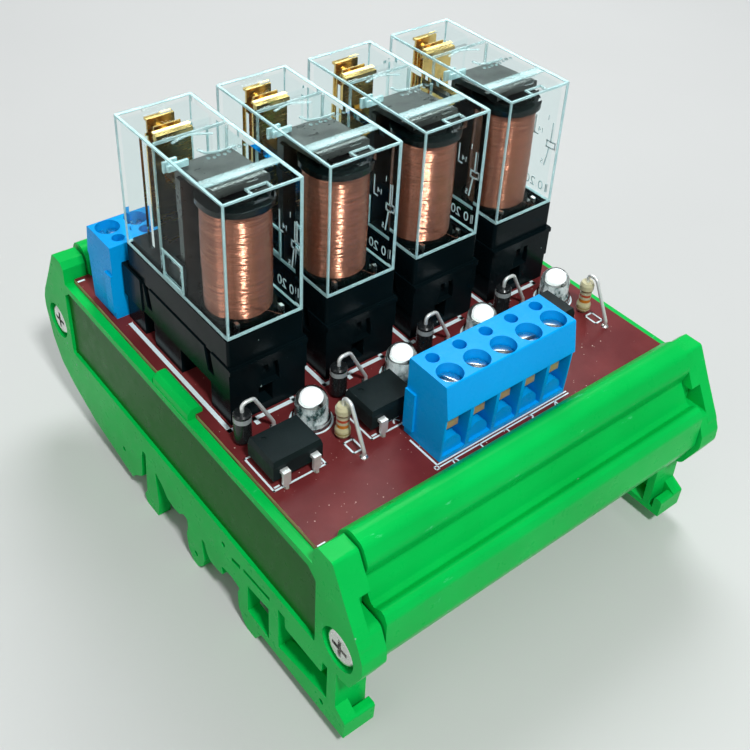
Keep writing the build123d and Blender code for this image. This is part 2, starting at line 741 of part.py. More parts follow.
def terminal_clamp(x):
    roof = board_top + hood_high + 0.6
    front = -terminal_deep + 1.5
    pin_y = -clamp_pin_from_inner()
    plate = block(x - 1.9, x + 1.9, front, pin_y + 0.3, roof - 0.6, roof)
    plate -= rod_z(x, -screw_from_inner, roof - 0.6, roof, 1.25)
    plate += block(x - 1.9, x + 0.6, front, front + 0.35, roof - 2.6, roof - 0.6)
    plate += block(x - 1.2, x + 1.2, pin_y - 0.3, pin_y + 0.3, board_top + entry_floor + 0.8, roof - 0.6)
    plate += block(x - 0.3, x + 0.3, pin_y - 0.45, pin_y + 0.45, board_bottom - lead_below,
                   board_top + entry_floor + 0.8)
    return plate


def at_input(shape):
    return Pos(input_centre, input_inner, 0) * shape


def at_rear(shape, number):
    return Pos(channel_x(number) + rear_shift, rear_inner, 0) * Rot(0, 0, 180) * shape


def input_terminal():
    return at_input(terminal_housing(input_ways))


def input_clamp_screws():
    return [at_input(terminal_screw(way_x(0, input_ways, way))) for way in range(input_ways)]


def input_wire_clamps():
    return [at_input(terminal_clamp(way_x(0, input_ways, way))) for way in range(input_ways)]


def rear_terminals():
    return [at_rear(terminal_housing(rear_ways), n) for n in range(channel_count)]


def rear_clamp_screws():
    return [at_rear(terminal_screw(way_x(0, rear_ways, way)), n)
            for n in range(channel_count) for way in range(rear_ways)]


def rear_wire_clamps():
    return [at_rear(terminal_clamp(way_x(0, rear_ways, way)), n)
            for n in range(channel_count) for way in range(rear_ways)]


# Small parts
def rectifier(number):
    low = board_top + bridge_stand
    half_x, half_y = bridge_long / 2, bridge_wide / 2
    body = block(-half_x, half_x, -half_y, half_y, low, low + bridge_high)
    body = chamfer(body.faces().sort_by(Axis.Z)[-1].edges(), length=0.9, length2=0.25)
    body -= rod_z(-half_x + 1.6, half_y - 1.6, low + bridge_high - 0.15, low + bridge_high, 0.45)
    return Pos(channel_x(number) + bridge_place[0], bridge_place[1], 0) * body


def rectifier_leg(x, y, row):
    mid = board_top + bridge_stand + bridge_high * 0.45
    face = bridge_wide / 2 + 0.05
    out = bridge_leg_y + 0.25
    inner, outer = sorted((row * face, row * out))
    leg = block(-0.6, 0.6, inner, outer, mid - 0.25, mid + 0.25)
    near, far = sorted((row * (out - 0.5), row * out))
    leg += block(-0.6, 0.6, near, far, board_top + 0.7, mid + 0.25)
    leg += block(-0.25, 0.25, near, far, board_bottom - lead_below, board_top + 0.7)
    return Pos(x, y, 0) * leg


def light(number):
    x = channel_x(number) + light_place[0]
    y = light_place[1]
    neck = board_top + light_high - light_radius
    body = rod_z(x, y, board_top, board_top + 1.0, light_flange)
    body += rod_z(x, y, board_top, neck, light_radius)
    return body + Pos(x, y, neck) * Sphere(light_radius)


def diodes():
    bodies = []
    for n in range(channel_count):
        low = board_top + diode_low
        body = rod_z(channel_x(n) + diode_place[0], diode_place[1], low, low + diode_high, diode_radius)
        bodies.append(chamfer(body.edges().filter_by(GeomType.CIRCLE), length=0.25))
    return bodies


def resistor_body():
    r = resistor_radius
    h = resistor_high
    half = [(0, 0), (r - 0.25, 0), (r, 0.5), (r, 1.3), (r - 0.22, 1.9), (r - 0.22, h - 1.9),
            (r, h - 1.3), (r, h - 0.5), (r - 0.25, h), (0, h)]
    return revolve(Plane.XZ * Polygon(*half, align=None), axis=Axis.Z)


def resistors():
    low = board_top + resistor_low
    return [Pos(channel_x(n) + resistor_place[0], resistor_place[1], low) * resistor_body()
            for n in range(channel_count)]


# a bent wire: up from the body, over, and down to its land; built in the (across, up) plane
def bent_lead(top, reach, over):
    points = [(0, top), (0, top + lead_rise), (over, top + lead_rise), (reach, board_top + 0.9),
              (reach, board_bottom - lead_below)]
    path = Plane.XZ * FilletPolyline(*points, radius=0.8)
    return sweep(Pos(0, 0, top) * Circle(lead_radius), path=path)


def component_leads():
    leads = []
    low = board_bottom - lead_below
    for n in range(channel_count):
        x = channel_x(n)
        dx, dy = x + diode_place[0], diode_place[1]
        leads.append(rod_z(dx, dy, low, board_top + diode_low, lead_radius))
        leads.append(Pos(dx, dy, 0) * bent_lead(board_top + diode_low + diode_high, diode_land, 2.0))
        rx, ry = x + resistor_place[0], resistor_place[1]
        leads.append(rod_z(rx, ry, low, board_top + resistor_low, lead_radius))
        wire = bent_lead(board_top + resistor_low + resistor_high, -resistor_lands[n], 1.7)
        leads.append(Pos(rx, ry, 0) * Rot(0, 0, -90) * wire)
        for side in (-1, 1):
            leads.append(rod_z(x + light_place[0] + side * 1.27, light_place[1], low, board_top, lead_radius))
            for row in (-1, 1):
                leads.append(rectifier_leg(x + bridge_place[0] + side * bridge_leg_x, bridge_place[1], row))
    return leads


def save(name, shape):
    solids = shape if isinstance(shape, list) else [shape]
    pieces = [piece for solid in solids for piece in solid.solids()]
    lifted = [Pos(0, 0, hook_drop) * piece for piece in pieces]
    whole = lifted[0] if len(lifted) == 1 else Compound(children=lifted)
    whole.label = name
    export_step(whole, f"parts/{name}.step")


def main():
    os.makedirs("parts", exist_ok=True)
    single = [carrier_profile, end_plate_left, end_plate_right, end_plate_screws, circuit_board,
              board_print, solder_joints, socket_contacts, fixed_contacts, relay_pins, input_terminal,
              input_clamp_screws, input_wire_clamps, rear_terminals, rear_clamp_screws,
              rear_wire_clamps, diodes, resistors, component_leads]
    for make in single:
        save(make.__name__, make())
    per_channel = [relay_socket, relay_base, relay_cover, coil_bobbin, coil_winding, yoke, armature,
                   contact_spring, rectifier]
    for n in range(channel_count):
        for make in per_channel:
            save(f"{make.__name__}_{n + 1}", make(n))
        save(f"led_{n + 1}", light(n))


main()
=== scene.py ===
import bpy
import math
import random
from mathutils import Matrix, Vector


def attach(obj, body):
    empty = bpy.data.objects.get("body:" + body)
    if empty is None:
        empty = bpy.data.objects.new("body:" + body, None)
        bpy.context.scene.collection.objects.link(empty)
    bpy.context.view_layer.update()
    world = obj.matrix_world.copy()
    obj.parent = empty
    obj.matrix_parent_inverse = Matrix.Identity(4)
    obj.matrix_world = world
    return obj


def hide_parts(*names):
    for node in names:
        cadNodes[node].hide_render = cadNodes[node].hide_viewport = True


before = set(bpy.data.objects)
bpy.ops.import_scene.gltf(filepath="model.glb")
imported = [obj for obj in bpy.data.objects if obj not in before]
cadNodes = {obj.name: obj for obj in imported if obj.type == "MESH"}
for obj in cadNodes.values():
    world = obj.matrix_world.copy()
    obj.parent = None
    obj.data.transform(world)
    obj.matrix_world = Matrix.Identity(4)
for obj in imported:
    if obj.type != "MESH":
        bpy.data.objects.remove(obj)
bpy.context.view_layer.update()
channelX = [-0.0255, -0.0085, 0.0085, 0.0255]  # middle of each relay
boardTop = 0.0331  # upper face of the circuit board
terminalPitch = 0.00508
print("frame loaded:", len(cadNodes), "nodes")


def objectMode():
    bpy.ops.object.mode_set(mode="OBJECT")


def deselectAll():
    if bpy.context.object and bpy.context.object.mode != "OBJECT":
        objectMode()
    bpy.ops.object.select_all(action="DESELECT")


def makeActive(piece):
    deselectAll()
    piece.select_set(True)
    bpy.context.view_layer.objects.active = piece


def applyPlace():
    bpy.ops.object.transform_apply(location=True, rotation=True, scale=True)


def settle(piece, name):
    # place goes into the mesh, so the object sits at the origin
    makeActive(piece)
    applyPlace()
    piece.name = name
    piece.data.name = name
    return piece


def editVertices():
    # goes to edit mode with every vertex selected
    bpy.ops.object.mode_set(mode="EDIT")
    bpy.ops.mesh.select_mode(type="VERT")
    bpy.ops.mesh.select_all(action="SELECT")


def extrudeBy(*move):
    bpy.ops.mesh.extrude_region_move(TRANSFORM_OT_translate={"value": move})


def growRegion(rise, factor, middle):
    # extrudes the selection upward and scales it about the middle
    extrudeBy(0, 0, rise)
    bpy.ops.transform.resize(value=(factor, factor, 1), center_override=middle)


def faceOutward():
    # turns all faces outward and leaves edit mode
    bpy.ops.mesh.select_all(action="SELECT")
    bpy.ops.mesh.normals_make_consistent(inside=False)
    objectMode()


def pickFaces(piece, test):
    # selects the faces whose middle and normal pass the test, then goes to edit mode
    objectMode()
    mesh = piece.data
    for item in (*mesh.vertices, *mesh.edges, *mesh.polygons):
        item.select = False
    for face in mesh.polygons:
        face.select = bool(test(face.center, face.normal))
    bpy.ops.object.mode_set(mode="EDIT")
    bpy.ops.mesh.select_mode(type="FACE")


def joinPieces(pieces, name):
    deselectAll()
    for piece in pieces:
        piece.select_set(True)
    bpy.context.view_layer.objects.active = pieces[0]
    if len(pieces) > 1:
        bpy.ops.object.join()
    return settle(pieces[0], name)


def copyAt(piece, shift, name):
    # a copy with its own mesh, moved by shift
    twin = piece.copy()
    twin.data = piece.data.copy()
    bpy.context.scene.collection.objects.link(twin)
    twin.data.transform(Matrix.Translation(shift))
    twin.name = name
    twin.data.name = name
    return twin


def addCube(middle, size):
    deselectAll()
    bpy.ops.mesh.primitive_cube_add(size=1, location=middle)
    cube = bpy.context.object
    cube.scale = size
    applyPlace()
    return cube


def boxFromSpans(spans):
    # a box from its (low, high) along x, y and z
    middle = [(low + high) / 2 for low, high in spans]
    return addCube(middle, [high - low for low, high in spans])


def turnedBar(size, place, turn):
    bar = addCube((0, 0, 0), size)
    bar.rotation_euler = turn
    bar.location = place
    return settle(bar, "bar")


def applyModifier(piece, kind, **settings):
    makeActive(piece)
    modifier = piece.modifiers.new("shape", kind)
    for label, value in settings.items():
        setattr(modifier, label, value)
    bpy.ops.object.modifier_apply(modifier="shape")


softEdge = {"segments": 2, "angle": math.radians(35)}


def softenEdges(piece, width):
    applyModifier(piece, "BEVEL", width=width, segments=softEdge["segments"], limit_method="ANGLE",
                  angle_limit=softEdge["angle"])
    bpy.ops.object.shade_smooth_by_angle(angle=softEdge["angle"])


def finishPiece(piece, look):
    piece.data.materials.clear()
    piece.data.materials.append(looks[look])
    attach(piece, "root")


def forEachChannel(make):
    for number, x in enumerate(channelX, start=1):
        make(number, x)


def copyToChannels(model, word, look):
    # a copy of the model at each relay, after which the model goes
    for number, x in enumerate(channelX, start=1):
        piece = copyAt(model, (x, 0, 0), f"{word}_{number}")
        finishPiece(piece, look)
    bpy.data.objects.remove(model)


noiseSpan = (0.3, 0.7)  # most of a noise texture lies between these
surfaceOutputs = [("Color", "Color"), ("Roughness", "Float"), ("Height", "Float")]


def groupShell(name, inputs, outputs):
    # each input is a label, a kind of socket and a value, each output a label and a kind
    tree = bpy.data.node_groups.new(name, "ShaderNodeTree")
    for label, kind, value in inputs:
        socket = tree.interface.new_socket(name=label, in_out="INPUT", socket_type="NodeSocket" + kind)
        if value is not None:
            socket.default_value = value
    for label, kind in outputs:
        tree.interface.new_socket(name=label, in_out="OUTPUT", socket_type="NodeSocket" + kind)
    enter = tree.nodes.new("NodeGroupInput")
    leave = tree.nodes.new("NodeGroupOutput")
    return tree, enter, leave


def addMath(tree, kind, a, b=None):
    node = tree.nodes.new("ShaderNodeMath")
    node.operation = kind
    for socket, value in zip(node.inputs, (a, b)):
        if isinstance(value, (int, float)):
            socket.default_value = value
        elif value is not None:
            tree.links.new(value, socket)
    return node.outputs[0]


def addNoise(tree, vector, scale, detail=3.0, rough=0.55, stretch=None):
    if stretch:
        mapping = tree.nodes.new("ShaderNodeMapping")
        mapping.inputs["Scale"].default_value = stretch
        tree.links.new(vector, mapping.inputs["Vector"])
        vector = mapping.outputs["Vector"]
    node = tree.nodes.new("ShaderNodeTexNoise")
    node.inputs["Detail"].default_value = detail
    node.inputs["Roughness"].default_value = rough
    if isinstance(scale, (int, float)):
        node.inputs["Scale"].default_value = scale
    else:
        tree.links.new(scale, node.inputs["Scale"])
    tree.links.new(vector, node.inputs["Vector"])
    return node.outputs["Fac"]


def addRange(tree, value, low, high, toLow=0.0, toHigh=1.0):
    node = tree.nodes.new("ShaderNodeMapRange")
    for label, number in (("From Min", low), ("From Max", high), ("To Min", toLow), ("To Max", toHigh)):
        if isinstance(number, (int, float)):
            node.inputs[label].default_value = number
        else:
            tree.links.new(number, node.inputs[label])
    tree.links.new(value, node.inputs["Value"])
    return node.outputs["Result"]


def addMix(tree, factor, a, b, kind="MIX"):
    node = tree.nodes.new("ShaderNodeMix")
    node.data_type = "RGBA"
    node.blend_type = kind
    for socket, value in ((node.inputs[0], factor), (node.inputs[6], a), (node.inputs[7], b)):
        if isinstance(value, (int, float)):
            socket.default_value = value
        elif isinstance(value, tuple):
            socket.default_value = (*value, 1.0)[:4]
        else:
            tree.links.new(value, socket)
    return node.outputs[2]


grainNoise = {
    # scale, detail and roughness of each noise, and the part of it that is used
    "drift": (55.0, 2.0), "driftSpan": (0.35, 0.7), "smear": (420.0, 4.0, 0.7), "smearSpan": (0.3, 0.72),
    "grainShare": 0.35, "smearShare": 0.65,
}


def makeMouldedGrain():
    # soft colour drift, fine surface grain and a roughness that wanders
    w = grainNoise
    tree, enter, leave = groupShell("mouldedGrain", [
        ("Vector", "Vector", None), ("Color", "Color", (0.5, 0.5, 0.5, 1)),
        ("Shade", "Color", (0.3, 0.3, 0.3, 1)), ("Grain", "Float", 2500.0),
        ("Rough Low", "Float", 0.3), ("Rough High", "Float", 0.45)],
        surfaceOutputs)
    vector = enter.outputs["Vector"]
    drift = addRange(tree, addNoise(tree, vector, *w["drift"]), *w["driftSpan"])
    color = addMix(tree, drift, enter.outputs["Color"], enter.outputs["Shade"])
    tree.links.new(color, leave.inputs["Color"])
    grain = addNoise(tree, vector, enter.outputs["Grain"])
    smear = addNoise(tree, vector, *w["smear"])
    rough = addRange(tree, smear, *w["smearSpan"], enter.outputs["Rough Low"], enter.outputs["Rough High"])
    tree.links.new(rough, leave.inputs["Roughness"])
    height = addMath(tree, "ADD", addMath(tree, "MULTIPLY", grain, w["grainShare"]),
                     addMath(tree, "MULTIPLY", smear, w["smearShare"]))
    tree.links.new(height, leave.inputs["Height"])
    return tree


drawnNoise = {
    "lines": (1800.0, 2.0, 0.6), "patch": (300.0, 3.0, 0.6),
    "dullSpan": (0.48, 0.75), "roughSpan": (0.7, 1.3),
}


def makeDrawnMetal():
    # rolling or drawing lines along one direction, with darker and duller patches
    w = drawnNoise
    tree, enter, leave = groupShell("drawnMetal", [
        ("Vector", "Vector", None), ("Stretch", "Vector", (1, 1, 1)),
        ("Color", "Color", (0.7, 0.7, 0.7, 1)), ("Dull", "Color", (0.4, 0.4, 0.4, 1)),
        ("Rough Low", "Float", 0.2), ("Rough High", "Float", 0.4)],
        surfaceOutputs)
    scaled = tree.nodes.new("ShaderNodeVectorMath")
    scaled.operation = "MULTIPLY"
    tree.links.new(enter.outputs["Vector"], scaled.inputs[0])
    tree.links.new(enter.outputs["Stretch"], scaled.inputs[1])
    lines = addNoise(tree, scaled.outputs[0], *w["lines"])
    patch = addNoise(tree, enter.outputs["Vector"], *w["patch"])
    dull = addRange(tree, patch, *w["dullSpan"])
    tree.links.new(addMix(tree, dull, enter.outputs["Color"], enter.outputs["Dull"]), leave.inputs["Color"])
    rough = addRange(tree, addMath(tree, "ADD", lines, patch), *w["roughSpan"],
                     enter.outputs["Rough Low"], enter.outputs["Rough High"])
    tree.links.new(rough, leave.inputs["Roughness"])
    tree.links.new(lines, leave.inputs["Height"])
    return tree


def makeDustSpecks():
    # a mask of small separate specks
    tree, enter, leave = groupShell("dustSpecks", [
        ("Vector", "Vector", None), ("Scale", "Float", 500.0),
        ("Size", "Float", 0.12), ("Share", "Float", 0.2)],
        [("Mask", "Float")])
    cells = tree.nodes.new("ShaderNodeTexVoronoi")
    tree.links.new(enter.outputs["Vector"], cells.inputs["Vector"])
    tree.links.new(enter.outputs["Scale"], cells.inputs["Scale"])
    near = addMath(tree, "LESS_THAN", cells.outputs["Distance"], enter.outputs["Size"])
    split = tree.nodes.new("ShaderNodeSeparateColor")
    tree.links.new(cells.outputs["Color"], split.inputs["Color"])
    chosen = addMath(tree, "LESS_THAN", split.outputs[0], enter.outputs["Share"])
    tree.links.new(addMath(tree, "MULTIPLY", near, chosen), leave.inputs["Mask"])
    return tree


mouldedGrain = makeMouldedGrain()
drawnMetal = makeDrawnMetal()
dustSpecks = makeDustSpecks()


def placeGroup(tree, group, vector, **values):
    node = tree.nodes.new("ShaderNodeGroup")
    node.node_tree = group
    tree.links.new(vector, node.inputs["Vector"])
    for label, value in values.items():
        socket = node.inputs[label.replace("_", " ")]
        if isinstance(value, tuple) and socket.type == "RGBA":
            value = (*value, 1.0)[:4]
        socket.default_value = value
    return node


def newMaterial(name):
    material = bpy.data.materials.new(name)
    material.use_nodes = True
    tree = material.node_tree
    tree.nodes.clear()
    out = tree.nodes.new("ShaderNodeOutputMaterial")
    shader = tree.nodes.new("ShaderNodeBsdfPrincipled")
    tree.links.new(shader.outputs["BSDF"], out.inputs["Surface"])
    coords = tree.nodes.new("ShaderNodeTexCoord")
    return material, tree, shader, coords.outputs["Object"]


def feed(tree, shader, color, rough):
    tree.links.new(color, shader.inputs["Base Color"])
    tree.links.new(rough, shader.inputs["Roughness"])


def addBump(tree, shader, height, distance, strength=1.0):
    bump = tree.nodes.new("ShaderNodeBump")
    bump.inputs["Distance"].default_value = distance
    bump.inputs["Strength"].default_value = strength
    tree.links.new(height, bump.inputs["Height"])
    tree.links.new(bump.outputs["Normal"], shader.inputs["Normal"])


def splitVector(tree, vector):
    node = tree.nodes.new("ShaderNodeSeparateXYZ")
    tree.links.new(vector, node.inputs["Vector"])
    return node.outputs["X"], node.outputs["Y"], node.outputs["Z"]


plasticLooks = {
    # name: colour, shaded colour, roughness from and to, grain depth, specular level
    "carrierGreen": ((0.001, 0.52, 0.080), (0.001, 0.43, 0.062), 0.24, 0.40, 0.00002, 0.06),
    "terminalBlue": ((0.001, 0.36, 0.84), (0.001, 0.31, 0.76), 0.22, 0.36, 0.00001, 0.06),
    "relayBlack": ((0.003, 0.008, 0.010), (0.002, 0.005, 0.006), 0.14, 0.28, 0.00001, 0.05),
    "bobbinBlack": ((0.003, 0.007, 0.007), (0.002, 0.004, 0.004), 0.05, 0.14, 0.000004, 0.22),
    "rectifierBlack": ((0.009, 0.017, 0.018), (0.005, 0.010, 0.011), 0.34, 0.54, 0.00003, 0.12),
}
plasticDust = {"specks": {"Scale": 520.0, "Size": 0.09, "Share": 0.02}, "color": (0.30, 0.42, 0.40)}
plasticScuffsAndGlints = {
    # rubbed patches and painted highlight: paler streaks that stand for scuffs and for glints; where they
    # begin and are full, their colour
    "carrierGreen": (0.66, 0.70, (0.08, 0.66, 0.26)), "relayBlack": (0.68, 0.72, (0.030, 0.045, 0.048)),
}
scuffAndGlintNoise = {"pattern": (420.0, 5.0, 0.75, (0.35, 1, 1)), "strength": 0.7}
panelShade = {
    # the sunk panel of each end plate is duller and darker than its rim, a darkness that is painted shade
    # of a face turned from the light
    "color": (0.008, 0.120, 0.010), "floor": 0.0360, "nearFloor": 0.0001,
    "halfWide": 0.0370, "low": 0.0168, "high": 0.0311,
}


def panelMask(tree, coords):
    # one on the floor of the sunk panels, where the painted shade goes, nought elsewhere
    w = panelShade
    x, y, z = splitVector(tree, coords)
    fromFloor = addMath(tree, "SUBTRACT", addMath(tree, "ABSOLUTE", x), w["floor"])
    inside = addMath(tree, "LESS_THAN", addMath(tree, "ABSOLUTE", fromFloor), w["nearFloor"])
    for test, value, limit in (("LESS_THAN", addMath(tree, "ABSOLUTE", y), w["halfWide"]),
                               ("GREATER_THAN", z, w["low"]), ("LESS_THAN", z, w["high"])):
        inside = addMath(tree, "MULTIPLY", inside, addMath(tree, test, value, limit))
    return inside


def plasticMaterial(name):
    color, shade, roughLow, roughHigh, depth, specular = plasticLooks[name]
    material, tree, shader, coords = newMaterial(name)
    grain = placeGroup(tree, mouldedGrain, coords, Color=color, Shade=shade,
                       Rough_Low=roughLow, Rough_High=roughHigh)
    specks = placeGroup(tree, dustSpecks, coords, **plasticDust["specks"])
    finish = addMix(tree, specks.outputs["Mask"], grain.outputs["Color"], plasticDust["color"])
    if name in plasticScuffsAndGlints:
        low, high, scuffAndGlintColor = plasticScuffsAndGlints[name]
        # paler streaks, partly scuffs and partly painted highlight standing for glints
        scuffAndGlint = addNoise(tree, coords, *scuffAndGlintNoise["pattern"])
        finish = addMix(tree, addRange(tree, scuffAndGlint, low, high, 0.0, scuffAndGlintNoise["strength"]), finish, scuffAndGlintColor)
    if name == "carrierGreen":
        # painted shade on the floor of the sunk panels
        finish = addMix(tree, panelMask(tree, coords), finish, panelShade["color"])
    feed(tree, shader, finish, grain.outputs["Roughness"])
    shader.inputs["Specular IOR Level"].default_value = specular
    addBump(tree, shader, grain.outputs["Height"], depth)
    return material


metalLooks = {
    # name: colour, dull colour, line stretch, roughness from and to, line depth, share of metal
    "screwZinc": ((0.80, 0.80, 0.78), (0.55, 0.55, 0.52), (1, 1, 1), 0.18, 0.38, 0.000008, 1.0),
    "solderTin": ((0.78, 0.78, 0.76), (0.58, 0.57, 0.54), (1, 1, 1), 0.16, 0.4, 0.00003, 1.0),
    "springBrass": ((0.80, 0.56, 0.20), (0.62, 0.38, 0.12), (0.15, 1, 1), 0.14, 0.32, 0.000006, 1.0),
    "clampCopper": ((0.86, 0.50, 0.26), (0.66, 0.36, 0.17), (0.2, 1, 1), 0.35, 0.5, 0.000008, 0.45),
    "leadTin": ((0.88, 0.91, 0.89), (0.70, 0.71, 0.68), (1, 1, 0.3), 0.34, 0.5, 0.000004, 0.6),
    "magnetSteel": ((0.100, 0.108, 0.100), (0.070, 0.074, 0.068), (0.6, 1, 1), 0.26, 0.4, 0.000002, 1.0),
}


def metalMaterial(name):
    color, dull, stretch, roughLow, roughHigh, depth, share = metalLooks[name]
    material, tree, shader, coords = newMaterial(name)
    lines = placeGroup(tree, drawnMetal, coords, Color=color, Dull=dull, Stretch=stretch,
                       Rough_Low=roughLow, Rough_High=roughHigh)
    feed(tree, shader, lines.outputs["Color"], lines.outputs["Roughness"])
    shader.inputs["Metallic"].default_value = share
    addBump(tree, shader, lines.outputs["Height"], depth)
    return material


boardLook = {
    "mask": (0.172, 0.028, 0.029), "maskDark": (0.125, 0.018, 0.020), "cloud": (120.0, 4.0),
    "cloudSpan": (0.35, 0.65), "speck": (0.62, 0.44, 0.38),
    "specks": ((640.0, 0.07, 0.6), (1700.0, 0.10, 0.14)),    # scale, size and share
    # glass cloth layers show on the sawn edge
    "laminate": (0.50, 0.36, 0.19), "laminateDark": (0.16, 0.09, 0.04),
    "layers": (900.0, 3.0, 0.7, (0.25, 0.25, 3.0)), "layerSpan": (0.5, 0.72),
    "flatFrom": 0.6, "edgeRough": 0.8, "faceRough": 0.3, "specular": 0.09,
    "weave": 700.0, "weaveDepth": 0.00002,
}


def boardMaterial():
    w = boardLook
    material, tree, shader, coords = newMaterial("boardMask")
    cloud = addRange(tree, addNoise(tree, coords, *w["cloud"]), *w["cloudSpan"])
    mask = addMix(tree, cloud, w["mask"], w["maskDark"])
    for scale, size, share in w["specks"]:
        specks = placeGroup(tree, dustSpecks, coords, Scale=scale, Size=size, Share=share)
        mask = addMix(tree, specks.outputs["Mask"], mask, w["speck"])
    layers = addRange(tree, addNoise(tree, coords, *w["layers"]), *w["layerSpan"])
    edge = addMix(tree, layers, w["laminate"], w["laminateDark"])
    geometry = tree.nodes.new("ShaderNodeNewGeometry")
    up = splitVector(tree, geometry.outputs["Normal"])[2]
    flat = addMath(tree, "GREATER_THAN", addMath(tree, "ABSOLUTE", up), w["flatFrom"])
    rough = addRange(tree, flat, 0.0, 1.0, w["edgeRough"], w["faceRough"])
    feed(tree, shader, addMix(tree, flat, edge, mask), rough)
    shader.inputs["Specular IOR Level"].default_value = w["specular"]
    addBump(tree, shader, addNoise(tree, coords, w["weave"]), w["weaveDepth"])
    return material


printLook = {
    "color": (0.80, 0.93, 0.96), "thin": (0.70, 0.84, 0.88), "uneven": 2600.0, "rough": (0.4, 0.6),
    "depth": 0.00001,
}


def printMaterial():
    w = printLook
    material, tree, shader, coords = newMaterial("printWhite")
    uneven = addRange(tree, addNoise(tree, coords, w["uneven"]), *noiseSpan)
    rough = addRange(tree, uneven, 0.0, 1.0, *w["rough"])
    feed(tree, shader, addMix(tree, uneven, w["color"], w["thin"]), rough)
    addBump(tree, shader, uneven, w["depth"])
    return material


bandLooks = {
    # name: lower and upper end of the upright body, roughness, bands as (share of the height, colour)
    "resistorBeige": (0.0334, 0.0392, 0.25, (
        (0.0, (0.56, 0.50, 0.28)), (0.12, (0.36, 0.30, 0.12)), (0.17, (0.58, 0.53, 0.30)),
        (0.33, (0.62, 0.20, 0.02)), (0.43, (0.56, 0.52, 0.34)), (0.52, (0.50, 0.07, 0.03)),
        (0.60, (0.56, 0.52, 0.34)), (0.72, (0.20, 0.11, 0.03)), (0.76, (0.62, 0.58, 0.36)))),
    "diodeBlack": (0.0336, 0.0389, 0.2, (
        (0.0, (0.010, 0.012, 0.013)), (0.72, (0.30, 0.33, 0.33)), (0.88, (0.012, 0.014, 0.015)))),
}
bandFinish = {
    "wobble": 900.0, "wobbleHigh": 0.02, "fine": 1500.0, "darkest": 0.85, "rougher": 0.1,
    "specular": 0.3, "coat": 0.15, "coatRough": 0.05, "depth": 0.00001,
}


def bandedMaterial(name):
    low, high, rough, bands = bandLooks[name]
    w = bandFinish
    material, tree, shader, coords = newMaterial(name)
    height = addRange(tree, splitVector(tree, coords)[2], low, high)
    wobble = addMath(tree, "SUBTRACT", addNoise(tree, coords, w["wobble"]), 0.5)
    wobble = addMath(tree, "MULTIPLY", wobble, w["wobbleHigh"])
    ramp = tree.nodes.new("ShaderNodeValToRGB")
    ramp.color_ramp.interpolation = "CONSTANT"
    tree.links.new(addMath(tree, "ADD", height, wobble), ramp.inputs["Fac"])
    stops = ramp.color_ramp.elements
    for index, (share, color) in enumerate(bands):
        stop = stops[index] if index < 2 else stops.new(share)
        stop.position = share
        stop.color = (*color, 1.0)
    fine = addRange(tree, addNoise(tree, coords, w["fine"]), *noiseSpan, w["darkest"], 1.0)
    tone = tree.nodes.new("ShaderNodeCombineColor")
    for socket in tone.inputs:
        tree.links.new(fine, socket)
    feed(tree, shader, addMix(tree, 1.0, ramp.outputs["Color"], tone.outputs["Color"], "MULTIPLY"),
         addRange(tree, fine, w["darkest"], 1.0, rough + w["rougher"], rough))
    shader.inputs["Specular IOR Level"].default_value = w["specular"]
    shader.inputs["Coat Weight"].default_value = w["coat"]
    shader.inputs["Coat Roughness"].default_value = w["coatRough"]
    addBump(tree, shader, fine, w["depth"])
    return material


windingLook = {
    # enamelled wire: each turn a little different, with painted shade between the turns as thin darker
    # bands, and duller patches
    "turn": (900.0, 2.0, 0.6, (0.05, 0.05, 5.0)), "turnSpan": (0.35, 0.65), "patch": 260.0,
    "patchSpan": (0.5, 0.8), "patchStrength": 0.5,
    "color": (0.62, 0.245, 0.155), "grooveShade": (0.40, 0.145, 0.088), "dull": (0.46, 0.20, 0.11),
    "rough": (0.13, 0.24), "metal": 0.9, "coat": 0.8, "coatRough": 0.06, "depth": 0.00001,
}


def windingMaterial():
    w = windingLook
    material, tree, shader, coords = newMaterial("windingCopper")
    turn = addNoise(tree, coords, *w["turn"])
    patch = addRange(tree, addNoise(tree, coords, w["patch"]), *w["patchSpan"], 0.0, w["patchStrength"])
    # painted shade: thin darker bands across the turns
    color = addMix(tree, addRange(tree, turn, *w["turnSpan"]), w["color"], w["grooveShade"])
    feed(tree, shader, addMix(tree, patch, color, w["dull"]), addRange(tree, turn, *noiseSpan, *w["rough"]))
    shader.inputs["Metallic"].default_value = w["metal"]
    shader.inputs["Coat Weight"].default_value = w["coat"]
    shader.inputs["Coat Roughness"].default_value = w["coatRough"]
    addBump(tree, shader, turn, w["depth"])
    return material


clearLooks = {
    # name: tint, roughness, bending of light, how much light a shadow lets through
    "clearCover": ((0.93, 0.985, 0.985), 0.01, 1.07, (0.9, 0.94, 0.94)),
    "lensClear": ((0.97, 0.99, 0.99), 0.01, 1.5, (0.8, 0.82, 0.82)),
}
clearFog = {
    "pattern": (380.0, 4.0), "tintSpan": (0.4, 0.8), "strength": 0.5, "dim": 0.96,
    "roughSpan": (0.45, 0.8), "rougher": 0.03, "ripple": (160.0, 2.0), "rippleBump": (0.00002, 0.4),
}


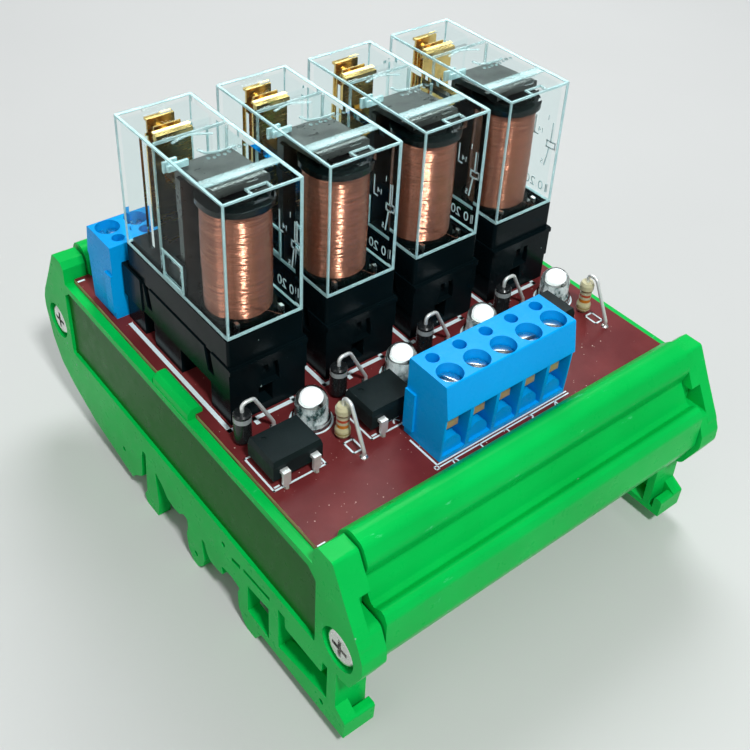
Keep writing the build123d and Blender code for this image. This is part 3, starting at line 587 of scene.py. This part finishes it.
def clearMaterial(name):
    tint, rough, bend, through = clearLooks[name]
    w = clearFog
    material, tree, shader, coords = newMaterial(name)
    shader.inputs["Transmission Weight"].default_value = 1.0
    shader.inputs["IOR"].default_value = bend
    fog = addNoise(tree, coords, *w["pattern"])
    dimmer = tuple(w["dim"] * c for c in tint)
    feed(tree, shader, addMix(tree, addRange(tree, fog, *w["tintSpan"], 0.0, w["strength"]), tint, dimmer),
         addRange(tree, fog, *w["roughSpan"], rough, rough + w["rougher"]))
    addBump(tree, shader, addNoise(tree, coords, *w["ripple"]), *w["rippleBump"])
    # shadow rays pass, so that what stands inside is lit
    clear = tree.nodes.new("ShaderNodeBsdfTransparent")
    clear.inputs["Color"].default_value = (*through, 1.0)
    path = tree.nodes.new("ShaderNodeLightPath")
    mix = tree.nodes.new("ShaderNodeMixShader")
    out = next(node for node in tree.nodes if node.type == "OUTPUT_MATERIAL")
    tree.links.new(path.outputs["Is Shadow Ray"], mix.inputs[0])
    tree.links.new(shader.outputs["BSDF"], mix.inputs[1])
    tree.links.new(clear.outputs["BSDF"], mix.inputs[2])
    tree.links.new(mix.outputs["Shader"], out.inputs["Surface"])
    return material


edgeLooks = {
    # pale looks, most of them painted light: painted highlight on thick clear edges, pale ribs, painted
    # glow and painted reflections in the lights;
    # colour, darker colour, roughness, how solid from and to, size of the clouds and their stretch, painted
    # glow
    "clearEdge": ((0.60, 0.86, 0.87), (0.42, 0.64, 0.66), 0.2, 0.40, 0.85, 700.0, (1, 1, 1), 0.0),
    "clearRib": ((0.52, 0.74, 0.74), (0.34, 0.50, 0.50), 0.2, 0.15, 0.75, 500.0, (0.5, 1, 1), 0.0),
    "lensCore": ((0.97, 1.0, 1.0), (0.88, 0.95, 0.96), 0.12, 0.85, 1.0, 700.0, (1, 1, 1), 0.5),
    "lensStreak": ((0.92, 1.0, 1.0), (0.02, 0.08, 0.08), 0.1, 0.3, 1.0, 520.0, (1, 1, 0.6), 0.0),
}
edgeCloud = {"detail": 4.0, "rough": 0.7, "darkSpan": (0.42, 0.6), "rougher": 0.15, "depth": 0.00003}


def edgeMaterial(name):
    color, darker, rough, thin, solid, scale, stretch, glow = edgeLooks[name]
    w = edgeCloud
    material, tree, shader, coords = newMaterial(name)
    cloud = addNoise(tree, coords, scale, w["detail"], w["rough"], stretch)
    feed(tree, shader, addMix(tree, addRange(tree, cloud, *w["darkSpan"]), color, darker),
         addRange(tree, cloud, *noiseSpan, rough, rough + w["rougher"]))
    tree.links.new(addRange(tree, cloud, *noiseSpan, thin, solid), shader.inputs["Alpha"])
    if glow:
        # painted glow: the part shines though it is no lamp
        shader.inputs["Emission Color"].default_value = (*color, 1.0)
        shader.inputs["Emission Strength"].default_value = glow
    addBump(tree, shader, cloud, w["depth"])
    return material


looks = {"boardMask": boardMaterial(), "printWhite": printMaterial(), "windingCopper": windingMaterial()}
for table, maker in ((plasticLooks, plasticMaterial), (metalLooks, metalMaterial),
                     (clearLooks, clearMaterial), (edgeLooks, edgeMaterial), (bandLooks, bandedMaterial)):
    looks.update({name: maker(name) for name in table})
print("finishes made:", len(looks))


nodeLooks = {
    "carrier_profile": "carrierGreen", "end_plate_left": "carrierGreen", "end_plate_right": "carrierGreen",
    "end_plate_screws": "screwZinc", "circuit_board": "boardMask", "board_print": "printWhite",
    "solder_joints": "solderTin", "socket_contacts": "springBrass", "fixed_contacts": "springBrass",
    "relay_pins": "solderTin", "input_terminal": "terminalBlue", "rear_terminals": "terminalBlue",
    "input_clamp_screws": "screwZinc", "rear_clamp_screws": "screwZinc", "input_wire_clamps": "clampCopper",
    "rear_wire_clamps": "clampCopper", "diodes": "diodeBlack", "resistors": "resistorBeige",
    "component_leads": "leadTin",
}
channelLooks = {
    "relay_socket": "relayBlack", "relay_base": "relayBlack", "relay_cover": "clearCover",
    "coil_bobbin": "bobbinBlack", "coil_winding": "windingCopper", "yoke": "magnetSteel",
    "armature": "magnetSteel", "contact_spring": "springBrass", "rectifier": "rectifierBlack",
    "led": "lensClear",
}
for base, look in channelLooks.items():
    nodeLooks.update({f"{base}_{number}": look for number in range(1, 5)})
for name, look in nodeLooks.items():
    node = cadNodes[name]
    if not node.material_slots:
        node.data.materials.append(looks[look])
    for slot in node.material_slots:
        slot.material = looks[look]
print("finishes placed on", len(nodeLooks), "nodes")


# windings: turns of wire round each coil, between the bobbin flanges
windingWire = {
    "low": 0.0489, "high": 0.0663, "radius": 0.00485, "middleY": -0.0021,
    "turns": 88, "around": 60, "wire": 0.00008,    # how far a turn stands out
    "crown": 1.003, "merge": 0.00001, "smooth": math.radians(75),
    "belly": 0.0001, "unevenness": 0.000024, "lieShare": 0.5, "lobes": 6,
    "sways": ((3, 2.9, 1), (2, 1.3, 2)),           # size, turns to a wave and share of the start
    "seed": 31,
}


def makeWinding(number, x):
    w = windingWire
    pitch = (w["high"] - w["low"]) / w["turns"]
    deselectAll()
    bpy.ops.mesh.primitive_circle_add(vertices=w["around"], radius=w["radius"], location=(0, 0, w["low"]))
    coil = bpy.context.object
    applyPlace()
    grow = 1 + w["wire"] / w["radius"]
    editVertices()
    for size in (grow, w["crown"], 1 / w["crown"], 1 / grow):
        growRegion(pitch / 4, size, (0, 0, 0))
    objectMode()
    applyModifier(coil, "ARRAY", count=w["turns"], use_relative_offset=False, use_constant_offset=True,
                  constant_offset_displace=(0, 0, pitch), use_merge_vertices=True,
                  merge_threshold=w["merge"])
    # wound look: a slight belly, and turns that lie a little in or out
    rng = random.Random(w["seed"] + number)
    lie = [rng.uniform(-1, 1) for _ in range(w["turns"] + 2)]
    start = rng.uniform(0, 6.28)
    for v in coil.data.vertices:
        up = (v.co.z - w["low"]) / (w["high"] - w["low"])
        turn = int(up * w["turns"] + 0.001)
        angle = math.atan2(v.co.y, v.co.x)
        sway = sum(size * math.sin(turn / wave + share * start) for size, wave, share in w["sways"])
        out = w["belly"] * (math.sin(math.pi * min(max(up, 0), 1)) - 1)
        out += w["unevenness"] * (w["lieShare"] * lie[turn] + math.sin(angle * w["lobes"] + sway) - 0.5)
        v.co.x *= 1 + out / w["radius"]
        v.co.y *= 1 + out / w["radius"]
    bpy.ops.object.mode_set(mode="EDIT")
    bpy.ops.mesh.select_all(action="DESELECT")
    bpy.ops.mesh.select_non_manifold()
    bpy.ops.mesh.edge_face_add()
    faceOutward()
    coil.location = (x, w["middleY"], 0)
    settle(coil, f"winding_wire_{number}")
    bpy.ops.object.shade_smooth_by_angle(angle=w["smooth"])
    finishPiece(coil, "windingCopper")
    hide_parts(f"coil_winding_{number}")


forEachChannel(makeWinding)
print("windings made")


# thin wire from the bottom of each winding to its pin
coilLead = {
    "points": ((-0.0012, -0.0070, 0.0512), (0.0012, -0.0072, 0.0497), (0.0033, -0.0075, 0.0482),
               (0.0040, -0.0079, 0.0479)),
    "radius": 0.00007, "roundSteps": 2, "lengthSteps": 6,
}


def makeCoilLead(number, x):
    w = coilLead
    deselectAll()
    bpy.ops.curve.primitive_bezier_curve_add(location=(x, 0, 0))
    lead = bpy.context.object
    spline = lead.data.splines[0]
    spline.bezier_points.add(len(w["points"]) - 2)
    for point, place in zip(spline.bezier_points, w["points"]):
        point.co = place
        point.handle_left_type = point.handle_right_type = "AUTO"
    lead.data.bevel_depth = w["radius"]
    lead.data.bevel_resolution = w["roundSteps"]
    lead.data.resolution_u = w["lengthSteps"]
    lead.data.use_fill_caps = True
    bpy.ops.object.convert(target="MESH")
    lead = settle(bpy.context.object, f"coil_lead_{number}")
    bpy.ops.object.shade_smooth()
    finishPiece(lead, "windingCopper")


forEachChannel(makeCoilLead)
print("coil leads made")


# the frame inside each light: two posts that lean inward, one of them under a hollow cup
lightInside = {
    "fromChannel": (0.0037, -0.0152), "low": 0.0335, "cupTop": 0.0368,
    "cupRadius": 0.0011, "cupFoot": 0.75, "cupHigh": 0.0012, "cupShift": 0.0004, "cupLip": 0.00012,
    "hollowDeep": 0.0005, "hollowFoot": 0.6,
    "postGap": 0.00127, "postWide": 0.0006, "postFlat": 0.8, "tallAbove": 0.0002, "lean": (0.0004, 0.0003),
    "soft": 0.00008,
}


def lightMiddle(x):
    return x + lightInside["fromChannel"][0], lightInside["fromChannel"][1]


def makeLightFrame(number, channel):
    w = lightInside
    x, y = lightMiddle(channel)
    cupX = x - w["cupShift"]
    deselectAll()
    bpy.ops.mesh.primitive_cone_add(vertices=24, radius1=w["cupRadius"] * w["cupFoot"],
                                    radius2=w["cupRadius"], depth=w["cupHigh"],
                                    location=(cupX, y, w["cupTop"] - w["cupHigh"] / 2))
    cup = bpy.context.object
    applyPlace()
    pickFaces(cup, lambda c, n: n.z > 0.9)
    bpy.ops.mesh.inset(thickness=w["cupLip"])
    growRegion(-w["hollowDeep"], w["hollowFoot"], (cupX, y, w["cupTop"]))
    objectMode()
    parts = [cup]
    for side in (-1, 1):
        top = w["cupTop"] - w["cupHigh"] if side < 0 else w["cupTop"] + w["tallAbove"]
        post = addCube((x + side * w["postGap"], y, (w["low"] + top) / 2),
                       (w["postWide"], w["postWide"] * w["postFlat"], top - w["low"]))
        pickFaces(post, lambda c, n: n.z > 0.9)
        inward, upward = w["lean"]
        extrudeBy(-side * inward, 0, upward)
        objectMode()
        softenEdges(post, w["soft"])
        parts.append(post)
    finishPiece(joinPieces(parts, f"light_frame_{number}"), "leadTin")


forEachChannel(makeLightFrame)
print("light frames made")


def stackRings(w, channel, fill="NOTHING"):
    # a ring round the light's middle, extruded through the radii and heights of w
    x, y = lightMiddle(channel)
    radius, rise = w["rings"][0]
    deselectAll()
    bpy.ops.mesh.primitive_circle_add(vertices=w["sides"], radius=radius, fill_type=fill,
                                      location=(x, y, w["low"]))
    piece = bpy.context.object
    applyPlace()
    editVertices()
    for nextRadius, nextRise in w["rings"][1:]:
        growRegion(nextRise - rise, nextRadius / radius, (x, y, 0))
        radius, rise = nextRadius, nextRise
    faceOutward()
    return piece


# painted highlight and painted glow: a white dome in the middle of each light stands for the lamp reflected
# at its top, a small dome on a rounded foot
lightGlare = {
    "sides": 32, "low": 0.0368, "smooth": 2,
    "rings": ((0.0011, 0.0), (0.0014, 0.0003), (0.0013, 0.0007), (0.0010, 0.0011), (0.0005, 0.0013)),
}


def makeLightCore(number, channel):
    dome = settle(stackRings(lightGlare, channel, "NGON"), f"light_glare_{number}")
    applyModifier(dome, "SUBSURF", levels=lightGlare["smooth"])
    bpy.ops.object.shade_smooth()
    finishPiece(dome, "lensCore")


forEachChannel(makeLightCore)
print("light cores made")


# painted reflections: bright and dark streaks in the clear body of each light, on a thin faceted sleeve
lightReflectionSleeve = {
    "sides": 14, "low": 0.0335, "wall": 0.00006,
    "rings": ((0.00265, 0.0), (0.00265, 0.0006), (0.00225, 0.0011), (0.0018, 0.0032)),
}


def makeLightSleeve(number, channel):
    sleeve = stackRings(lightReflectionSleeve, channel)
    applyModifier(sleeve, "SOLIDIFY", thickness=lightReflectionSleeve["wall"])
    settle(sleeve, f"light_reflection_sleeve_{number}")
    # painted reflections on the sleeve
    finishPiece(sleeve, "lensStreak")


forEachChannel(makeLightSleeve)
print("light sleeves made")


# painted highlight: pale edges inside the walls of the clear covers stand for light running along their
# thick edges; also the fainter ribs and marks of their roofs
coverEdgeHighlight = {
    "halfX": 0.0065, "front": -0.0093, "back": 0.02025, "low": 0.0485, "high": 0.07115,
    "inset": 0.00012, "thick": 0.0007, "soft": 0.00012, "softBar": 0.00008,
    # across from and to, y, z of the bars round the clip windows
    "windows": ((0.0027, 0.0032, 0.0492, 0.0543), (0.0081, 0.0086, 0.0492, 0.0543),
                (0.0032, 0.0081, 0.0492, 0.0497), (0.0032, 0.0081, 0.0538, 0.0543)),
    "windowX": (0.0060, 0.00635),
    # clear lugs under the roof by the left wall
    "lugs": (((-0.0064, -0.0042), (0.0058, 0.0063), (0.0682, 0.0699)),
             ((-0.0064, -0.0032), (0.0044, 0.0049), (0.0690, 0.0700))),
}
coverRib = {
    "ribs": (((-0.0060, 0.0060), (-0.0042, -0.0024), (0.07065, 0.07095)),
             ((-0.0058, 0.0058), (0.0095, 0.0099), (0.07035, 0.07095)),
             ((-0.0060, -0.0056), (0.0090, 0.0095), (0.0500, 0.0704)),
             ((0.0056, 0.0060), (0.0090, 0.0095), (0.0500, 0.0704)),
             ((-0.0018, 0.0018), (-0.0076, -0.0072), (0.07055, 0.07095)),
             ((-0.0018, -0.0014), (-0.0090, -0.0072), (0.07055, 0.07095)),
             ((0.0014, 0.0018), (-0.0090, -0.0072), (0.07055, 0.07095))),
    # x, y and radius of the small beads moulded under the roof
    "beads": ((-0.0015, 0.0021, 0.00030), (-0.0007, 0.0018, 0.00024), (0.0001, 0.0021, 0.00030),
              (0.0009, 0.0018, 0.00026), (0.0018, 0.0021, 0.00034), (0.0028, 0.0022, 0.00026),
              (0.0037, 0.0025, 0.00034), (0.0046, 0.0024, 0.00028)),
    "beadShape": (1, 1.2, 0.6), "roof": 0.07085, "soft": 0.0001,
    # width, depth and points of the soft lines under the roof
    "strokes": (
        (0.0004, 0.0004, ((-0.0014, 0.0050), (-0.0010, 0.0037), (0.0003, 0.0032), (0.0018, 0.0031),
                          (0.0034, 0.0032))),
        (0.0005, 0.0003, ((-0.0034, 0.0085), (-0.0020, 0.0090), (-0.0004, 0.0093), (0.0009, 0.0088),
                          (0.0026, 0.0078)))),
}


def makeCoverEdge():
    w = coverEdgeHighlight
    # painted highlight: a pale frame along every edge of the cover, with the window bars and lugs in the
    # same pale finish
    gap = w["inset"]
    shell = boxFromSpans(((-w["halfX"] + gap, w["halfX"] - gap), (w["front"] + gap, w["back"] - gap),
                          (w["low"] + gap, w["high"] - gap)))
    applyModifier(shell, "WIREFRAME", thickness=w["thick"], use_even_offset=True, offset=-1)
    softenEdges(shell, w["soft"])
    parts = [shell]
    spans = list(w["lugs"])
    inner, outer = w["windowX"]
    for y0, y1, z0, z1 in w["windows"]:
        spans += [((-outer, -inner), (y0, y1), (z0, z1)), ((inner, outer), (y0, y1), (z0, z1))]
    for span in spans:
        bar = boxFromSpans(span)
        softenEdges(bar, w["softBar"])
        parts.append(bar)
    return joinPieces(parts, "cover_edge_highlight_model")


def roofStroke(wide, deep, points):
    bars = []
    for (x0, y0), (x1, y1) in zip(points, points[1:]):
        bar = turnedBar((math.hypot(x1 - x0, y1 - y0) + wide / 2, wide, deep),
                        ((x0 + x1) / 2, (y0 + y1) / 2, coverRib["roof"] - deep / 2),
                        (0, 0, math.atan2(y1 - y0, x1 - x0)))
        softenEdges(bar, wide / 4)
        bars.append(bar)
    return bars


def roofBead(x, y, radius):
    # the lower half of a flattened ball
    roof = coverRib["roof"]
    deselectAll()
    bpy.ops.mesh.primitive_uv_sphere_add(segments=12, ring_count=8, radius=radius, location=(x, y, roof))
    bead = bpy.context.object
    bead.scale = coverRib["beadShape"]
    settle(bead, "bead")
    editVertices()
    bpy.ops.mesh.bisect(plane_co=(x, y, roof), plane_no=(0, 0, 1), clear_outer=True, use_fill=True)
    objectMode()
    bpy.ops.object.shade_smooth_by_angle(angle=math.radians(50))
    return bead


def makeCoverRib():
    w = coverRib
    parts = []
    for spans in w["ribs"]:
        bar = boxFromSpans(spans)
        softenEdges(bar, w["soft"])
        parts.append(bar)
    for stroke in w["strokes"]:
        parts += roofStroke(*stroke)
    parts += [roofBead(*bead) for bead in w["beads"]]
    return joinPieces(parts, "cover_rib_model")


# painted highlight along the cover edges
copyToChannels(makeCoverEdge(), "cover_edge_highlight", "clearEdge")
copyToChannels(makeCoverRib(), "cover_rib", "clearRib")
print("cover edges and ribs made")


# printed lines and numbers on the right-hand wall of each cover
coverMarks = {
    "wall": 0.00653, "thick": 0.00003, "wide": 0.00028,
    # y and z ends of each line
    "lines": ((-0.0070, 0.0626, -0.0070, 0.0592), (-0.0062, 0.0592, -0.0078, 0.0592),
              (-0.0062, 0.0581, -0.0078, 0.0581), (-0.0062, 0.0581, -0.0062, 0.0592),
              (-0.0078, 0.0581, -0.0078, 0.0592), (-0.0068, 0.0581, -0.0063, 0.0546),
              (-0.0032, 0.0625, -0.0032, 0.0594), (-0.0032, 0.0594, -0.0040, 0.0594)),
    # text, size, y and z of its lower corner
    "numbers": (("10 20", 0.0024, -0.0080, 0.0497), ("5", 0.0013, -0.0060, 0.0546),
                ("1", 0.0013, -0.0062, 0.0628), ("14", 0.0013, -0.0052, 0.0600)),
    "turn": (math.radians(90), 0, math.radians(90)),
}


def makeText(body, size, place, turn, depth):
    deselectAll()
    bpy.ops.object.text_add(location=place, rotation=turn)
    label = bpy.context.object
    label.data.body = body
    label.data.size = size
    label.data.extrude = depth
    label.data.resolution_u = 3
    bpy.ops.object.convert(target="MESH")
    return settle(bpy.context.object, "label")


def makeCoverMarks():
    w = coverMarks
    parts = []
    for y0, z0, y1, z1 in w["lines"]:
        parts.append(turnedBar((w["thick"], math.hypot(y1 - y0, z1 - z0) + w["wide"], w["wide"]),
                               (w["wall"], (y0 + y1) / 2, (z0 + z1) / 2),
                               (math.atan2(z1 - z0, y1 - y0), 0, 0)))
    for body, size, y, z in w["numbers"]:
        parts.append(makeText(body, size, (w["wall"], y, z), w["turn"], w["thick"] / 2))
    return joinPieces(parts, "cover_marks_model")


copyToChannels(makeCoverMarks(), "cover_marks", "printWhite")
print("cover marks made")


# slotted clamp screws, backed out as in open terminals
clampScrew = {
    "radius": 0.0018, "shank": 0.0012, "low": 0.0389, "seat": 0.0423, "top": 0.0456,
    "slotWide": 0.0007, "slotDeep": 0.0008, "crown": 0.0003, "crownShare": 0.6, "soft": 0.00006,
    "inputX": [0.00054 + terminalPitch * k for k in (-2, -1, 0, 1, 2)], "inputY": -0.0306, "inputSeed": 5,
    "rearX": [x - 0.0009 + terminalPitch * k for x in channelX for k in (-1, 0, 1)], "rearY": 0.0277,
    "rearSeed": 9,
}


def makeScrewModel():
    w = clampScrew
    deselectAll()
    bpy.ops.mesh.primitive_cylinder_add(vertices=32, radius=w["radius"], depth=w["top"] - w["seat"],
                                        location=(0, 0, (w["top"] + w["seat"]) / 2))
    screw = bpy.context.object
    applyPlace()
    pickFaces(screw, lambda c, n: n.z > 0.9)
    bpy.ops.mesh.inset(thickness=w["crown"])
    bpy.ops.transform.translate(value=(0, 0, w["crown"] * w["crownShare"]))
    pickFaces(screw, lambda c, n: n.z < -0.9)
    bpy.ops.mesh.inset(thickness=w["radius"] - w["shank"])
    extrudeBy(0, 0, w["low"] - w["seat"])
    objectMode()
    cutter = addCube((0, 0, w["top"]), (w["radius"] * 2.4, w["slotWide"], w["slotDeep"] * 2))
    applyModifier(screw, "BOOLEAN", operation="DIFFERENCE", object=cutter)
    bpy.data.objects.remove(cutter)
    softenEdges(screw, w["soft"])
    return screw


def makeScrews(model, kind, node):
    # a copy of the model in every way of the terminal, each turned by chance
    rng = random.Random(clampScrew[f"{kind}Seed"])
    name = f"{kind}_screw_detail"
    parts = []
    for x in clampScrew[f"{kind}X"]:
        piece = copyAt(model, (0, 0, 0), name)
        piece.data.transform(Matrix.Rotation(rng.uniform(0, 3.14), 4, "Z"))
        piece.data.transform(Matrix.Translation((x, clampScrew[f"{kind}Y"], 0)))
        parts.append(piece)
    piece = joinPieces(parts, name)
    finishPiece(piece, "screwZinc")
    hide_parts(node)


screwModel = makeScrewModel()
makeScrews(screwModel, "input", "input_clamp_screws")
makeScrews(screwModel, "rear", "rear_clamp_screws")
bpy.data.objects.remove(screwModel)
print("clamp screws made")


# white print on the board: outlines, marks and plain numbers
boardPrint = {
    "thick": 0.00004, "wide": 0.0007, "fine": 0.0003, "inputWide": 0.00021, "inputCornerWide": 0.00018,
    "starWide": 0.00025, "cornerWide": 0.0004,
    # from each relay's middle: both ends of a line
    "relayLines": ((-0.0073, -0.0103, -0.0073, 0.0196), (0.0073, -0.0058, 0.0073, 0.0196),
                   (-0.0073, -0.0103, -0.0065, -0.0103), (-0.0031, -0.0103, 0.0040, -0.0103),
                   (-0.0031, -0.0103, -0.0031, -0.0112), (0.0040, -0.0103, 0.0040, -0.0099)),
    "ticks": ((-0.0081, -0.0232, -0.0075, -0.0232), (-0.0009, -0.0232, -0.0003, -0.0232)),
    # across from and to, along from and to
    "frames": ((-0.0086, 0.0002, -0.0237, -0.0163), (0.0046, 0.0062, -0.0244, -0.0220)),
    "ring": (0.0037, -0.0152, 0.0030, 0.0033),    # middle, inner and outer radius
    # from the board's middle; the star has a middle and a reach, the corners a place and a length
    "inputLines": ((-0.0125, -0.0331, 0.0136, -0.0331), (-0.0125, -0.0336, 0.0136, -0.0336)),
    "inputSide": (-0.0127, -0.0272, -0.0127, -0.0330),
    "inputCorner": (-0.0134, -0.0128, -0.0338, -0.0332),
    "star": (-0.0119, -0.0222, 0.0009), "corners": (0.03465, 0.0349, 0.0009),
    "numbers": (-0.0106, -0.0055, -0.0004, 0.0047, 0.0098), "numberLow": -0.0351, "numberSize": 0.0023,
}


def printLine(ends, wide):
    x0, y0, x1, y1 = ends
    thick = boardPrint["thick"]
    return turnedBar((math.hypot(x1 - x0, y1 - y0) + wide, wide, thick),
                     ((x0 + x1) / 2, (y0 + y1) / 2, boardTop + thick / 2),
                     (0, 0, math.atan2(y1 - y0, x1 - x0)))


def printFrame(x0, x1, y0, y1, wide):
    sides = ((x0, y0, x1, y0), (x0, y1, x1, y1), (x0, y0, x0, y1), (x1, y0, x1, y1))
    return [printLine(ends, wide) for ends in sides]


def printRing(x, y, inner, outer):
    w = boardPrint
    deselectAll()
    bpy.ops.mesh.primitive_circle_add(vertices=48, radius=inner, location=(x, y, boardTop + w["thick"] / 2))
    ring = bpy.context.object
    editVertices()
    growRegion(0, outer / inner, (x, y, 0))
    objectMode()
    applyModifier(ring, "SOLIDIFY", thickness=w["thick"], offset=0)
    return settle(ring, "ring")


def makeBoardPrint():
    w = boardPrint
    model = [printLine(ends, w["wide"]) for ends in w["relayLines"]]
    model += [printLine(ends, w["fine"]) for ends in w["ticks"]]
    for x0, x1, y0, y1 in w["frames"]:
        model += printFrame(x0, x1, y0, y1, w["fine"])
    model.append(printRing(*w["ring"]))
    model = joinPieces(model, "channel_print")
    parts = [copyAt(model, (x, 0, 0), "channel_print_copy") for x in channelX]
    bpy.data.objects.remove(model)
    parts += [printLine(ends, w["inputWide"]) for ends in w["inputLines"]]
    parts.append(printLine(w["inputSide"], w["fine"]))
    parts += printFrame(*w["inputCorner"], w["inputCornerWide"])
    x, y, reach = w["star"]
    for degrees in (0, 60, 120):
        dx = reach * math.cos(math.radians(degrees))
        dy = reach * math.sin(math.radians(degrees))
        parts.append(printLine((x - dx, y - dy, x + dx, y + dy), w["starWide"]))
    x, y, length = w["corners"]
    parts += [printLine((sideX * x, sideY * y, sideX * (x - length), sideY * y), w["cornerWide"])
              for sideX in (-1, 1) for sideY in (-1, 1)]
    half = w["thick"] / 2
    parts += [makeText(str(index), w["numberSize"], (x, w["numberLow"], boardTop + half), (0, 0, 0), half)
              for index, x in enumerate(w["numbers"])]
    piece = joinPieces(parts, "board_print_detail")
    finishPiece(piece, "printWhite")
    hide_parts("board_print")


makeBoardPrint()
print("board print made")


# solder where the bent leads enter the board
leadLand = {
    "radius": 0.00068, "top": 0.00036, "high": 0.00028, "soft": 0.00005,
    "diode": (-0.0016, -0.0132), "resistorX": 0.0054, "resistorY": (-0.0257, -0.0239, -0.0239, -0.0257),
}


def makeLeadLands():
    w = leadLand
    parts = []
    for number, x in enumerate(channelX):
        for place in ((x + w["diode"][0], w["diode"][1]), (x + w["resistorX"], w["resistorY"][number])):
            deselectAll()
            bpy.ops.mesh.primitive_cylinder_add(vertices=20, radius=w["radius"], depth=w["high"],
                                                location=(*place, boardTop + w["high"] / 2))
            land = bpy.context.object
            applyPlace()
            pickFaces(land, lambda c, n: n.z > 0.9)
            grow = w["top"] / w["radius"]
            bpy.ops.transform.resize(value=(grow, grow, 1), center_override=(*place, 0))
            objectMode()
            softenEdges(land, w["soft"])
            parts.append(land)
    finishPiece(joinPieces(parts, "lead_lands"), "solderTin")


makeLeadLands()
print("lead lands made")


# copper tongues of the clamps, seen in the wire entries of the input terminal
clampTongue = {
    "fromWay": (-0.0015, 0.0009), "front": -0.03235, "thick": 0.0003, "low": 0.0384, "high": 0.0414,
    "turnedIn": 0.0007, "turnedDown": 0.0002, "soft": 0.0001,
}


def makeClampTongues():
    w = clampTongue
    tongues = []
    for x in clampScrew["inputX"]:
        tongue = boxFromSpans(((x + w["fromWay"][0], x + w["fromWay"][1]),
                               (w["front"], w["front"] + w["thick"]), (w["low"], w["high"])))
        pickFaces(tongue, lambda c, n: n.z < -0.9)
        extrudeBy(0, w["turnedIn"], -w["turnedDown"])
        objectMode()
        softenEdges(tongue, w["soft"])
        tongues.append(tongue)
    finishPiece(joinPieces(tongues, "clamp_tongues"), "clampCopper")


makeClampTongues()
print("clamp tongues made")


# stage, light and camera
stageLook = {
    "floor": (0.60, 0.60, 0.59), "floorHalf": 1.5, "floorDrop": 0.00001, "floorCloud": 14.0,
    "cloudDim": 0.98, "floorRough": 0.7, "world": (0.96, 0.98, 1.0), "worldLight": 0.32,
    # place, target, size, watts, colour
    "key": ((-0.10, -0.36, 0.56), (0, 0, 0.04), 0.07, 3.0, (0.97, 1.0, 1.0)),
    "left": ((-0.55, -0.08, 0.36), (0, 0, 0.04), 0.26, 0.35, (1.0, 0.97, 0.94)),
    "back": ((0.26, 0.30, 0.52), (0, 0, 0.04), 0.3, 2.4, (0.94, 0.98, 1.0)),
}
cameraView = {
    "place": (-0.090339, -0.109264, 0.145756), "turn": (0.957747, -0.044257, -0.667741),
    "sensor": 36.0, "lens": 51.937, "shiftY": -0.166667, "near": 0.005, "far": 10.0,
}


def makeStage():
    w = stageLook
    deselectAll()
    bpy.ops.mesh.primitive_plane_add(size=2 * w["floorHalf"], location=(0, 0, -w["floorDrop"]))
    floor = settle(bpy.context.object, "floor")
    material, tree, shader, coords = newMaterial("paleFloor")
    cloud = addRange(tree, addNoise(tree, coords, w["floorCloud"]), *noiseSpan)
    dimmer = tuple(w["cloudDim"] * c for c in w["floor"])
    tree.links.new(addMix(tree, cloud, w["floor"], dimmer), shader.inputs["Base Color"])
    shader.inputs["Roughness"].default_value = w["floorRough"]
    floor.data.materials.append(material)
    world = bpy.data.worlds.new("studio")
    bpy.context.scene.world = world
    world.use_nodes = True
    back = world.node_tree.nodes["Background"]
    back.inputs["Color"].default_value = (*w["world"], 1.0)
    back.inputs["Strength"].default_value = w["worldLight"]
    for name in ("key", "left", "back"):
        place, target, size, watts, color = w[name]
        lamp = bpy.data.lights.new(name, "AREA")
        lamp.shape = "SQUARE"
        lamp.size = size
        lamp.energy = watts
        lamp.color = color
        holder = bpy.data.objects.new(name, lamp)
        bpy.context.scene.collection.objects.link(holder)
        holder.location = place
        holder.rotation_euler = (Vector(target) - Vector(place)).to_track_quat("-Z", "Y").to_euler()


def makeCamera():
    w = cameraView
    lens = bpy.data.cameras.new("photoView")
    lens.sensor_fit = "HORIZONTAL"
    lens.sensor_width = w["sensor"]
    lens.lens = w["lens"]
    lens.shift_y = w["shiftY"]
    lens.clip_start = w["near"]
    lens.clip_end = w["far"]
    camera = bpy.data.objects.new("photoView", lens)
    camera.location = w["place"]
    camera.rotation_euler = w["turn"]
    bpy.context.scene.collection.objects.link(camera)
    bpy.context.scene.camera = camera


makeStage()
makeCamera()
bpy.context.scene.view_settings.view_transform = "Standard"
print("stage, light and camera set")
